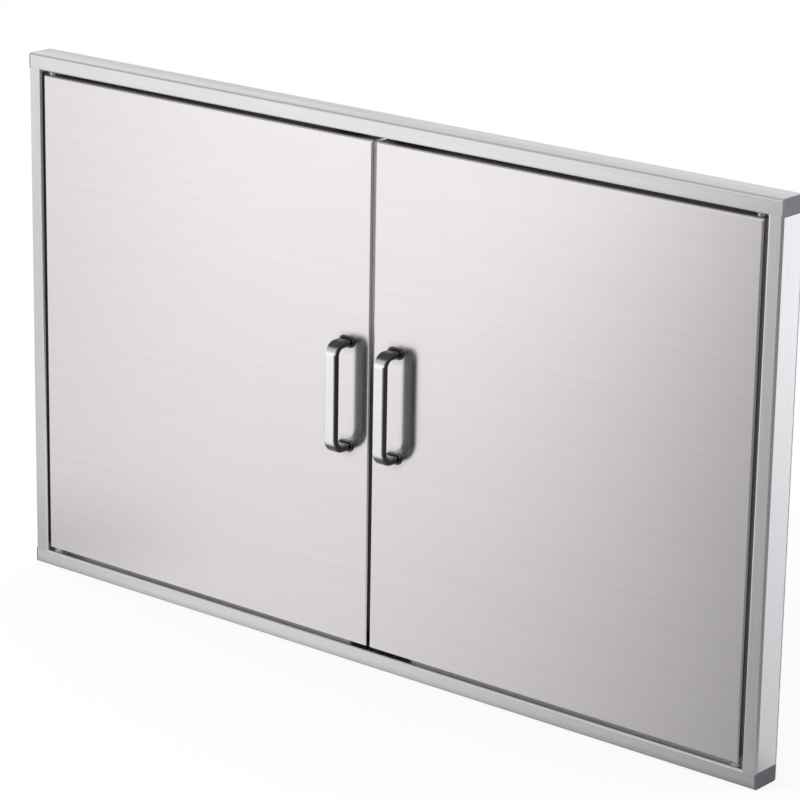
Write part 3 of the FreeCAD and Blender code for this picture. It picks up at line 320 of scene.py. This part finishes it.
def apply(piece, kind, **settings):
    """Add a modifier to an object and apply it."""
    only(piece)
    modifier = piece.modifiers.new(kind.lower(), kind)
    for name, setting in settings.items():
        setattr(modifier, name, setting)
    bpy.ops.object.modifier_apply(modifier=modifier.name)


def copied(piece, move, turn=(0, 0, 0)):
    """A copy of a settled piece with its own mesh, turned about the origin and then moved."""
    twin = piece.copy()
    twin.data = piece.data.copy()
    bpy.context.scene.collection.objects.link(twin)
    twin.rotation_euler = turn
    twin.location = move
    return settle(twin)


def joined(pieces, name):
    """Join pieces into one named object."""
    deselect()
    for piece in pieces:
        piece.select_set(True)
    bpy.context.view_layer.objects.active = pieces[0]
    bpy.ops.object.join()
    whole = bpy.context.object
    whole.name = name
    whole.data.name = name
    return whole


def finished(piece, material, body):
    """Smooth a modelled piece and give it its material and body."""
    only(piece)
    piece.data.materials.clear()
    piece.data.materials.append(material)
    bpy.ops.object.shade_smooth_by_angle(angle=SMOOTH_UNDER)
    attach(piece, body)


deselect()
bpy.ops.mesh.primitive_uv_sphere_add(segments=16, ring_count=10, radius=BEAD_RADIUS)
ripple = bpy.context.object
ripple.scale = BEAD_SHAPE
settle(ripple)
apply(ripple, "ARRAY", count=RIPPLES, use_relative_offset=False, use_constant_offset=True,
      constant_offset_displace=(RIPPLE_STEP, 0, 0))
apply(ripple, "REMESH", mode="VOXEL", voxel_size=BEAD_VOXEL)
apply(ripple, "SMOOTH", factor=0.5, iterations=2)
ripple.location = (-BEAD_LONG / 2 + BEAD_RADIUS, 0, 0)
settle(ripple)

flange_low, flange_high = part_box("seat_flange")
bead_y = flange_low.y - BEAD_SEAT / 2
beads = []
for up in (-1, 1):
    for along in RAIL_PLACES:
        beads.append(copied(ripple, (along, bead_y, up * (flange_high.z - BEAD_INSET))))
for out in (-1, 1):
    for along in STILE_PLACES:
        beads.append(copied(ripple, (out * (flange_high.x - BEAD_INSET), bead_y, along), UPRIGHT))
bpy.data.objects.remove(ripple)
seams = joined(beads, "flange_stitch_welds")

WELD_GREY = (0.62, 0.60, 0.58)
WELD_STRAW = (0.58, 0.50, 0.42)
weld = new_finish("weld_steel")
weld_cloud = weld.noise(0.003, detail=3)
weld_tint = weld.mix(weld_cloud, WELD_GREY, WELD_STRAW)
weld_steel = weld.surface(Base_Color=weld.scaled(weld_tint, 0.8 + 0.3 * weld.noise(0.0006, offset=2)),
                          Metallic=1.0, Roughness=0.28 + 0.2 * weld_cloud,
                          Normal=weld.relief(0.00004 * weld.noise(0.0008, detail=3, offset=5)))
finished(seams, weld_steel, "frame")


# Doors: an outer pan folded from 1.2 mm sheet with its corners welded and dressed, and an inner
# pan spot welded inside it. The outer face has a fine horizontal polish. Painted shade darkens
# the edges in the gaps, dust and painted shade lie on the upper edge in its gap, and the upper
# half of the meeting edges is painted lighter, as painted light.

DOOR_STEEL = (0.885, 0.853, 0.853)
DOOR_STEEL_DULL = (0.835, 0.806, 0.808)
SPOT_PITCH = 0.062
SPOT_RADIUS = 0.0022
CENTRE_LIGHT_Z = (0.0, 0.10)
CENTRE_LIGHT_X = (0.01, 0.03)
liner_low, liner_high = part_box("right_door_liner")
spot_y = (liner_low.y + liner_high.y) / 2

door = new_finish("door_steel")
door_scratches = door.noise(0.0004, (90, 1, 1), 3)
door_sweeps = door.noise(0.006, (40, 1, 1), 3, offset=2)
door_haze = door.noise(0.16, (1, 1, 1.6), 3, offset=5)
door_waves = door.noise(0.30, (1, 1, 1.2), 1, offset=11)
door_edge = door.rounding()
door_air = door.crevice_shade(0.012)
folded = 1 - door.rise(abs(door.facing["Y"]), 0.1, 0.5)
along_fold = door.x * abs(door.facing["Z"]) + door.z * abs(door.facing["X"])
spot_run = abs(along_fold % SPOT_PITCH - SPOT_PITCH / 2)
spot_reach = (spot_run ** 2 + (door.y - spot_y) ** 2) ** 0.5
spot = (1 - door.rise(spot_reach, 0.6 * SPOT_RADIUS, SPOT_RADIUS)) * folded
# Dust and painted shade: faces turned up in the gaps are duller and darker.
dust_and_shade = door.rise(door.facing["Z"], 0.7, 0.95) * (1 - door_air)
# Painted light: the upper half of the meeting edges keeps less of the painted shade.
centre_gap_light = 0.75 * door.rise(door.z, *CENTRE_LIGHT_Z) * (1 - door.rise(abs(door.x), *CENTRE_LIGHT_X))
door_colour = door.mix(door_sweeps, DOOR_STEEL_DULL, DOOR_STEEL)
door_level = 0.975 + 0.05 * door_scratches + 0.02 * door_edge
# Painted shade darkens the skin in the gaps.
door_level = door_level * (1 - 0.75 * (1 - door_air) * (1 - centre_gap_light))
door_level = door_level * (1 - 0.25 * spot) * (1 - 0.6 * dust_and_shade)
door_rough = 0.15 + 0.04 * door_scratches + 0.05 * door_haze - 0.03 * door_edge + 0.6 * dust_and_shade
door_height = 0.0000008 * door_scratches + 0.000004 * door_sweeps
door_height = door_height + 0.00018 * door_waves - 0.00012 * spot
door_material = door.surface(
    Base_Color=door.scaled(door_colour, door_level), Metallic=1 - 0.85 * dust_and_shade, Roughness=door_rough,
    Anisotropic=0.75, Anisotropic_Rotation=CROSSWAYS_TURN, Normal=door.relief(door_height))
liner_material = mill_steel("liner_steel", X)
for side in SIDES:
    dress(door_material, f"{side}_door_skin")
    dress(liner_material, f"{side}_door_liner")


# Handles: a flat bar of stainless steel bent to a D and polished to a mirror, with a pressed
# collar at each foot. The flanks, the inner side, the bends and the feet are rougher and painted
# near black as painted shade, less where they face up, and painted shade darkens crevices.

BAR_BRIGHT = (0.93, 0.925, 0.945)
BAR_PAINTED_SHADE = (0.035, 0.036, 0.042)
UPPER_BRIGHT = 0.0080
UPPER_SHADED = 0.0045
LOWER_BRIGHT = 0.0145
LOWER_SHADED = 0.0090
FOOT_LONG = 0.0058
FOOT_FADE = 0.0020
handle_low, handle_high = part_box("right_handle")
foot_y = handle_high.y - FOOT_LONG

polish = new_finish("polished_steel")
polish_fine = polish.noise(0.0003, (1, 1, 20), 2)
smear = polish.noise(0.012, (1, 1, 2), 3, offset=3)
flank = polish.rise(abs(polish.facing["X"]), 0.45, 0.85)
inward = polish.rise(polish.facing["Y"], 0.2, 0.7)
# Painted light: faces turned up carry less of the painted shade.
upward_light = 1 - 0.35 * polish.rise(polish.facing["Z"], 0.3, 0.8)
upper = polish.rise(polish.z, handle_high.z - UPPER_BRIGHT, handle_high.z - UPPER_SHADED)
lower = polish.rise(-1 * polish.z, -handle_low.z - LOWER_BRIGHT, -handle_low.z - LOWER_SHADED) * upward_light
foot = polish.rise(polish.y, foot_y - FOOT_FADE, foot_y) * upward_light
# Painted shade on the flanks, the inner side, the bends and the feet, which are also rougher.
dull_and_shade = (0.90 * flank).or_more(0.86 * inward).or_more(0.92 * upper).or_more(0.92 * lower)
dull_and_shade = dull_and_shade.or_more(0.88 * foot)
# Painted shade darkens the bar in crevices.
bar_level = (0.96 + 0.05 * smear) * (0.35 + 0.65 * polish.crevice_shade(0.006))
polished = polish.surface(
    Base_Color=polish.scaled(polish.mix(dull_and_shade, BAR_BRIGHT, BAR_PAINTED_SHADE), bar_level), Metallic=1.0,
    Roughness=0.05 + 0.05 * smear + 0.15 * dull_and_shade,
    Normal=polish.relief(0.0000005 * polish_fine + 0.000004 * smear))
for side in SIDES:
    dress(polished, f"{side}_handle", f"{side}_handle_collars")


# Handle screws and hole covers: pan-headed screws inside the door hold each leg, and grey moulded
# caps, each with the small mark of its gate, close the liner's holes in front of them.

COVER_DULL = (0.40, 0.40, 0.41)
COVER_GREY = (0.47, 0.47, 0.48)
GATE_RADIUS = 0.0006
GATE_EDGE = 0.0011
RING_RADIUS = 0.0045
RING_HALF = 0.0002
RING_EDGE = 0.0005
covers_low, covers_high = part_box("right_hole_covers")
cover_x = (covers_low.x + covers_high.x) / 2
cover_z = covers_high.z - (covers_high.x - covers_low.x) / 2

cover = new_finish("cover_plastic")
cover_grain = cover.noise(0.0005, detail=3)
cover_cloud = cover.noise(0.008, detail=3, offset=6)
off_gate = ((abs(cover.x) - cover_x) ** 2 + (abs(cover.z) - cover_z) ** 2) ** 0.5
gate = 1 - cover.rise(off_gate, GATE_RADIUS, GATE_EDGE)
ring = 1 - cover.rise(abs(off_gate - RING_RADIUS), RING_HALF, RING_EDGE)
# Painted shade darkens the cover in crevices.
cover_level = (0.92 + 0.12 * cover_grain) * (1 - 0.25 * gate) * (0.4 + 0.6 * cover.crevice_shade(0.004))
cover_material = cover.surface(
    Base_Color=cover.scaled(cover.mix(cover_cloud, COVER_DULL, COVER_GREY), cover_level),
    Roughness=0.48 + 0.1 * cover_grain,
    Normal=cover.relief(0.00002 * cover_grain - 0.00018 * gate - 0.00008 * ring))
small_steel = mill_steel("small_parts_steel", Z)
for side in SIDES:
    dress(cover_material, f"{side}_hole_covers")
    dress(small_steel, f"{side}_handle_screws")


# Pivots: flanged nylon bushes pressed into the rails, bright washers in the gaps, folded brackets
# welded in the doors' corners, and turned pins. The upper pin slides against a coil spring.

NYLON = (0.80, 0.79, 0.75)
NYLON_DULL = (0.76, 0.74, 0.68)
nylon = new_finish("nylon")
nylon_cloud = nylon.noise(0.004, detail=3)
# Painted shade darkens the nylon in crevices.
nylon_level = (0.9 + 0.15 * nylon_cloud) * (0.45 + 0.55 * nylon.crevice_shade(0.004))
nylon_material = nylon.surface(
    Base_Color=nylon.scaled(nylon.mix(nylon_cloud, NYLON_DULL, NYLON), nylon_level),
    Roughness=0.42 + 0.12 * nylon.noise(0.0008, offset=4),
    Normal=nylon.relief(0.00002 * nylon.noise(0.001, detail=3, offset=8)))

TURNED_DULL = (0.70, 0.70, 0.71)
TURNED_BRIGHT = (0.80, 0.80, 0.81)
turned = new_finish("turned_steel")
turned_rings = turned.noise(0.0004, (30, 30, 1), 2)
turned_cloud = turned.noise(0.01, detail=3, offset=5)
# Painted shade darkens the turned steel in crevices.
turned_level = (0.92 + 0.12 * turned_rings) * (0.5 + 0.5 * turned.crevice_shade(0.004))
turned_steel = turned.surface(
    Base_Color=turned.scaled(turned.mix(turned_cloud, TURNED_DULL, TURNED_BRIGHT), turned_level),
    Metallic=1.0, Roughness=0.18 + 0.10 * turned_cloud,
    Normal=turned.relief(0.000004 * turned_rings))

for side in SIDES:
    for end in ENDS:
        dress(nylon_material, f"{end}_{side}_pivot_bush")
    dress(turned_steel, f"{side}_pivot_washers", f"{side}_lower_pivot_pin", f"{side}_spring_pin",
          f"{side}_pin_clip")
    dress(small_steel, f"{side}_lower_pivot_bracket", f"{side}_upper_pivot_bracket")

WIRE = 0.0010
WIRE_SIDES = 14
WIRE_DULL = (0.40, 0.40, 0.42)
WIRE_GREY = (0.52, 0.51, 0.51)
COIL_STEPS = 36
OPEN_COILS = 5
CLOSED_PITCH = 1.03 * WIRE
MERGE_UNDER = 0.00002

wire = new_finish("spring_wire")
drawn = wire.noise(0.0005, (1, 1, 1), 3)
# Painted shade darkens the wire in crevices.
wire_level = (0.85 + 0.25 * drawn) * (0.4 + 0.6 * wire.crevice_shade(0.003))
wire_steel = wire.surface(
    Base_Color=wire.scaled(wire.mix(drawn, WIRE_DULL, WIRE_GREY), wire_level), Metallic=1.0,
    Roughness=0.26 + 0.1 * drawn, Normal=wire.relief(0.000006 * drawn))


def coil(radius, start, pitch, turns):
    """Turn a round wire section about Z into a helix from a starting height."""
    deselect()
    bpy.ops.mesh.primitive_circle_add(vertices=WIRE_SIDES, radius=WIRE / 2,
                                      location=(radius, 0, start), rotation=(math.radians(90), 0, 0))
    section = settle(bpy.context.object)
    apply(section, "SCREW", axis="Z", angle=math.radians(360), iterations=turns,
          screw_offset=pitch, steps=COIL_STEPS, render_steps=COIL_STEPS, use_merge_vertices=False)
    return section


for side in SIDES:
    spring_low, spring_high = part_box(f"{side}_pin_spring")
    centre = (spring_low + spring_high) / 2
    coil_radius = (spring_high.x - spring_low.x - WIRE) / 2
    first_turn = spring_low.z + WIRE / 2
    last_turn = spring_high.z - WIRE / 2 - CLOSED_PITCH
    open_pitch = (spring_high.z - spring_low.z - WIRE - 2 * CLOSED_PITCH) / OPEN_COILS
    turns = [coil(coil_radius, first_turn, CLOSED_PITCH, 1),
             coil(coil_radius, first_turn + CLOSED_PITCH, open_pitch, OPEN_COILS),
             coil(coil_radius, last_turn, CLOSED_PITCH, 1)]
    spring = joined(turns, f"{side}_coil_spring")
    spring.location = (centre.x, centre.y, 0)
    settle(spring)
    bpy.ops.object.mode_set(mode="EDIT")
    bpy.ops.mesh.select_all(action="SELECT")
    bpy.ops.mesh.remove_doubles(threshold=MERGE_UNDER)
    bpy.ops.mesh.select_all(action="DESELECT")
    bpy.ops.mesh.select_non_manifold(extend=False, use_wire=False, use_multi_face=False,
                                     use_non_contiguous=False, use_verts=False)
    bpy.ops.mesh.edge_face_add()
    bpy.ops.mesh.select_all(action="SELECT")
    bpy.ops.mesh.normals_make_consistent(inside=False)
    bpy.ops.object.mode_set(mode="OBJECT")
    finished(spring, wire_steel, f"{side}_door")
    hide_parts(f"{side}_pin_spring")
    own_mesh(spring)


# Magnetic catches: ivory moulded housings screwed up under the top rail through slotted lugs,
# each with a ferrite magnet between two steel poles. Riveted strike plates meet them.

IVORY = (0.80, 0.79, 0.76)
IVORY_DULL = (0.74, 0.73, 0.69)
ivory = new_finish("catch_plastic")
ivory_grain = ivory.noise(0.0005, detail=3)
ivory_cloud = ivory.noise(0.012, detail=3, offset=3)
# Painted shade darkens the housing in crevices.
ivory_level = (0.93 + 0.1 * ivory_grain) * (0.35 + 0.65 * ivory.crevice_shade(0.008))
ivory_material = ivory.surface(
    Base_Color=ivory.scaled(ivory.mix(ivory_cloud, IVORY_DULL, IVORY), ivory_level),
    Roughness=0.45 + 0.12 * ivory_grain, Normal=ivory.relief(0.00002 * ivory_grain))

FERRITE_BLACK = (0.06, 0.06, 0.065)
FERRITE_GREY = (0.13, 0.13, 0.135)
ferrite = new_finish("ferrite")
ferrite_grain = ferrite.noise(0.0007, detail=5)
ferrite_material = ferrite.surface(
    Base_Color=ferrite.mix(ferrite_grain, FERRITE_BLACK, FERRITE_GREY), Metallic=0.2,
    Roughness=0.5 + 0.3 * ferrite_grain, Normal=ferrite.relief(0.00006 * ferrite_grain))

for side in SIDES:
    dress(ivory_material, f"{side}_catch_housing")
    dress(ferrite_material, f"{side}_catch_magnet")
    dress(small_steel, f"{side}_catch_poles", f"{side}_strike_plate")
    dress(turned_steel, f"{side}_strike_rivets")

HEAD_RADIUS = 0.0033
HEAD_HIGH = 0.0018
HEAD_CROWN = 0.0007
HEAD_SIDES = 40
SHANK_RADIUS = 0.0017
POINT_LONG = 0.002
POINT_BLUNT = 0.25
RECESS_WIDE = 0.0009
RECESS_LONG = 0.0040
RECESS_DEEP = 0.0011
FACES_END = 0.9
screws_low, screws_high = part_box("catch_screws")
housing_low, housing_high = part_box("right_catch_housing")
catch_x = (housing_low.x + housing_high.x) / 2
lug_x = screws_high.x - HEAD_RADIUS - catch_x
screws_y = (screws_low.y + screws_high.y) / 2
shank_long = screws_high.z - screws_low.z - HEAD_HIGH - POINT_LONG


def select_faces(piece, test):
    """Select the faces of a piece that pass a test, and leave the rest."""
    bpy.ops.object.mode_set(mode="OBJECT")
    for face in piece.data.polygons:
        face.select = test(face)
    bpy.ops.object.mode_set(mode="EDIT")


deselect()
bpy.ops.mesh.primitive_cylinder_add(vertices=HEAD_SIDES, radius=HEAD_RADIUS, depth=HEAD_HIGH)
screw = bpy.context.object
bpy.ops.object.mode_set(mode="EDIT")
bpy.ops.mesh.select_mode(type="FACE")
select_faces(screw, lambda face: face.normal.z < -FACES_END)
bpy.ops.mesh.bevel(offset=HEAD_CROWN, segments=4)
select_faces(screw, lambda face: face.normal.z > FACES_END)
bpy.ops.mesh.inset(thickness=HEAD_RADIUS - SHANK_RADIUS)
bpy.ops.mesh.extrude_region_move(TRANSFORM_OT_translate={"value": (0, 0, shank_long)})
bpy.ops.mesh.extrude_region_move(TRANSFORM_OT_translate={"value": (0, 0, POINT_LONG)})
bpy.ops.transform.resize(value=(POINT_BLUNT, POINT_BLUNT, 1))
bpy.ops.object.mode_set(mode="OBJECT")
for turn in (0, 90):
    deselect()
    bpy.ops.mesh.primitive_cube_add(size=1, location=(0, 0, -HEAD_HIGH / 2))
    blade = bpy.context.object
    blade.scale = (RECESS_LONG, RECESS_WIDE, 2 * RECESS_DEEP)
    blade.rotation_euler = (0, 0, math.radians(turn))
    settle(blade)
    apply(screw, "BOOLEAN", operation="DIFFERENCE", solver="EXACT", object=blade)
    bpy.data.objects.remove(blade)
screw.location = (0, 0, screws_low.z + HEAD_HIGH / 2)
settle(screw)
copies = []
for out in (-1, 1):
    for lug in (-1, 1):
        copies.append(copied(screw, (out * catch_x + lug * lug_x, screws_y, 0)))
bpy.data.objects.remove(screw)
catch_screws = joined(copies, "cross_head_screws")
finished(catch_screws, turned_steel, "frame")
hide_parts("catch_screws")


# Stop: a folded 1.5 mm angle welded on the bottom rail behind the doors' meeting edges. Two
# rubber buttons are pulled into its holes, and the doors shut against them.

RUBBER_BLACK = (0.035, 0.035, 0.036)
RUBBER_BLOOM = (0.085, 0.085, 0.088)
rubber = new_finish("rubber")
bloom = rubber.noise(0.004, detail=4)
rubber_material = rubber.surface(
    Base_Color=rubber.mix(bloom, RUBBER_BLACK, RUBBER_BLOOM), Roughness=0.6 + 0.2 * bloom,
    Normal=rubber.relief(0.00003 * rubber.noise(0.0006, offset=2)))
dress(sheet_material, "stop_angle")
dress(rubber_material, "stop_bumpers")


# Floor: a white paper sweep, seen white by the camera. For glossy rays it glows with painted light
# and shade that metal mirrors: bright to the left and brighter beyond, painted shade to the front
# right, a painted shadow by the left foot, and pale behind. The doors mirror what lies in the
# direction AHEAD of them, and ACROSS runs to the right of that.

FLOOR_WIDE = 60
AHEAD = (-0.63, -0.77)
ACROSS = (0.77, -0.63)
FRONT_TINT = (1.0, 0.995, 0.99)
REAR_TINT = (0.975, 0.955, 1.0)
RIGHT_SHADE = (-0.13, 1.035)
RIGHT_SHADE_LEAN = 0.12
LEFT_SHADE = (-0.87, -0.12)
LEFT_PAINTED_LIGHT = (-1.3, -0.75)
FOOT_SHADOW_X = 0.60
FOOT_SHADOW_Y = 0.09
FOOT_SHADOW_REACH = 0.30
REAR_SHADE = (-0.035, 0.05)
REAR_LEAN = 0.35
DARKEST = 0.22
BRIGHTEST = 1.06
PAPER_WHITE = (0.92, 0.92, 0.92, 1)
CAMERA_WHITE = (1, 1, 1, 1)
CAMERA_SHARE = 0.75

deselect()
bpy.ops.mesh.primitive_plane_add(size=FLOOR_WIDE, location=(0, 0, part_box("bottom_rail")[0].z))
floor = settle(bpy.context.object)
floor.name = "floor"
paper = new_finish("paper")
floor_rays = paper.node("LightPath", {})
across = ACROSS[0] * paper.x + ACROSS[1] * paper.y
ahead = AHEAD[0] * paper.x + AHEAD[1] * paper.y
front_level = 0.76 + 0.12 * ahead
front_level = front_level * (1 - 0.95 * paper.rise(across - RIGHT_SHADE_LEAN * ahead, *RIGHT_SHADE))
front_level = front_level * (0.71 + 0.29 * paper.rise(across, *LEFT_SHADE))
# Painted shadow by the frame's left foot.
from_foot_shadow = ((paper.x + FOOT_SHADOW_X) ** 2 + (paper.y + FOOT_SHADOW_Y) ** 2) ** 0.5
front_level = front_level * (0.80 + 0.20 * paper.rise(from_foot_shadow, 0.0, FOOT_SHADOW_REACH))
front_level = front_level.or_more(DARKEST)
# Painted light: a bright patch far to the left.
left_level = 1.15 * (1 - paper.rise(across, *LEFT_PAINTED_LIGHT))
rear_level = 0.57 - 0.235 * ahead
out_right = (paper.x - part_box("bottom_right_end_plug")[1].x).or_more(0)
floor_rear = paper.rise(paper.y - REAR_LEAN * out_right, *REAR_SHADE)
floor_level = front_level.or_more(left_level) * (1 - floor_rear) + rear_level * floor_rear
floor_tint = paper.mix(floor_rear, FRONT_TINT, REAR_TINT)
mirrored = paper.node("Emission", {}, floor_tint, floor_level.at_most(BRIGHTEST))["Emission"]
lit = paper.node("BsdfDiffuse", {}, PAPER_WHITE)["BSDF"]
white = paper.node("Emission", {}, CAMERA_WHITE, BRIGHTEST)["Emission"]
camera_share = CAMERA_SHARE * floor_rays["Is Camera Ray"]
seen = paper.node("MixShader", {}, camera_share, lit, white)["Shader"]
mirror_share = floor_rays["Is Glossy Ray"] + floor_rays["Is Transmission Ray"]
sweep = paper.node("MixShader", {}, mirror_share, seen, mirrored)["Shader"]
paper.node("OutputMaterial", {}, sweep)
floor.data.materials.append(paper.holder)


# Studio: a soft white room around the sweep with a dimmer ceiling, and one disk lamp high on the
# front left. The camera sees the room white, and metal mirrors it a little bluer behind.

STUDIO_REAR = (-0.35, 0.35)
CEILING = (0.45, 0.80)
CEILING_LEVEL = 0.50
CEILING_LOWER = 0.30
WALL_LEVEL = 1.03
WALL_DIP = (0.02, 0.28)
FILL_LEVEL = 0.85
LAMP_PLACE = (-1.6, -2.2, 2.4)
LAMP_WIDE = 1.6
LAMP_WATTS = 25

studio = bpy.data.worlds.new("studio")
bpy.context.scene.world = studio
sky = Finish(studio)
sky_rays = sky.node("LightPath", {})
sky_rear = sky.rise(sky.y, *STUDIO_REAR)
ceiling = sky.rise(sky.z + CEILING_LOWER * (1 - sky_rear), *CEILING)
wall = WALL_LEVEL - (0.13 + 0.15 * sky_rear) * sky.rise(sky.z, *WALL_DIP)
sky_level = wall * (1 - ceiling) + CEILING_LEVEL * ceiling
direct = sky_rays["Is Camera Ray"] + sky_rays["Is Transmission Ray"]
mirror = sky_rays["Is Glossy Ray"]
level = direct + mirror * sky_level + (1 - direct - mirror) * FILL_LEVEL
sky_tint = sky.mix(sky_rear * mirror, (1, 1, 1), REAR_TINT)
background = sky.node("Background", {}, sky_tint, level)["Background"]
sky.node("OutputWorld", {}, background)

deselect()
bpy.ops.object.light_add(type="AREA", location=LAMP_PLACE)
lamp = bpy.context.object
lamp.data.shape = "DISK"
lamp.data.size = LAMP_WIDE
lamp.data.energy = LAMP_WATTS
lamp.rotation_euler = (Vector((0, 0, 0)) - lamp.location).to_track_quat("-Z", "Y").to_euler()
lamp.visible_glossy = False


# Camera: the photograph's view, from the front right and above through a long lens. Its place,
# its turn and the lens were fitted to the frame's corners and gap lines in the photograph.

LENS = 155.77
SENSOR_WIDE = 36
CAMERA_PLACE = (2.3675, -2.8662, 1.1239)
CAMERA_TURN = (73.05, -0.9165, 39.7109)

camera = bpy.data.objects.new("camera", bpy.data.cameras.new("camera"))
bpy.context.scene.collection.objects.link(camera)
camera.data.lens = LENS
camera.data.sensor_width = SENSOR_WIDE
camera.location = CAMERA_PLACE
camera.rotation_euler = [math.radians(angle) for angle in CAMERA_TURN]
bpy.context.scene.camera = camera
bpy.context.scene.view_settings.view_transform = "Standard"
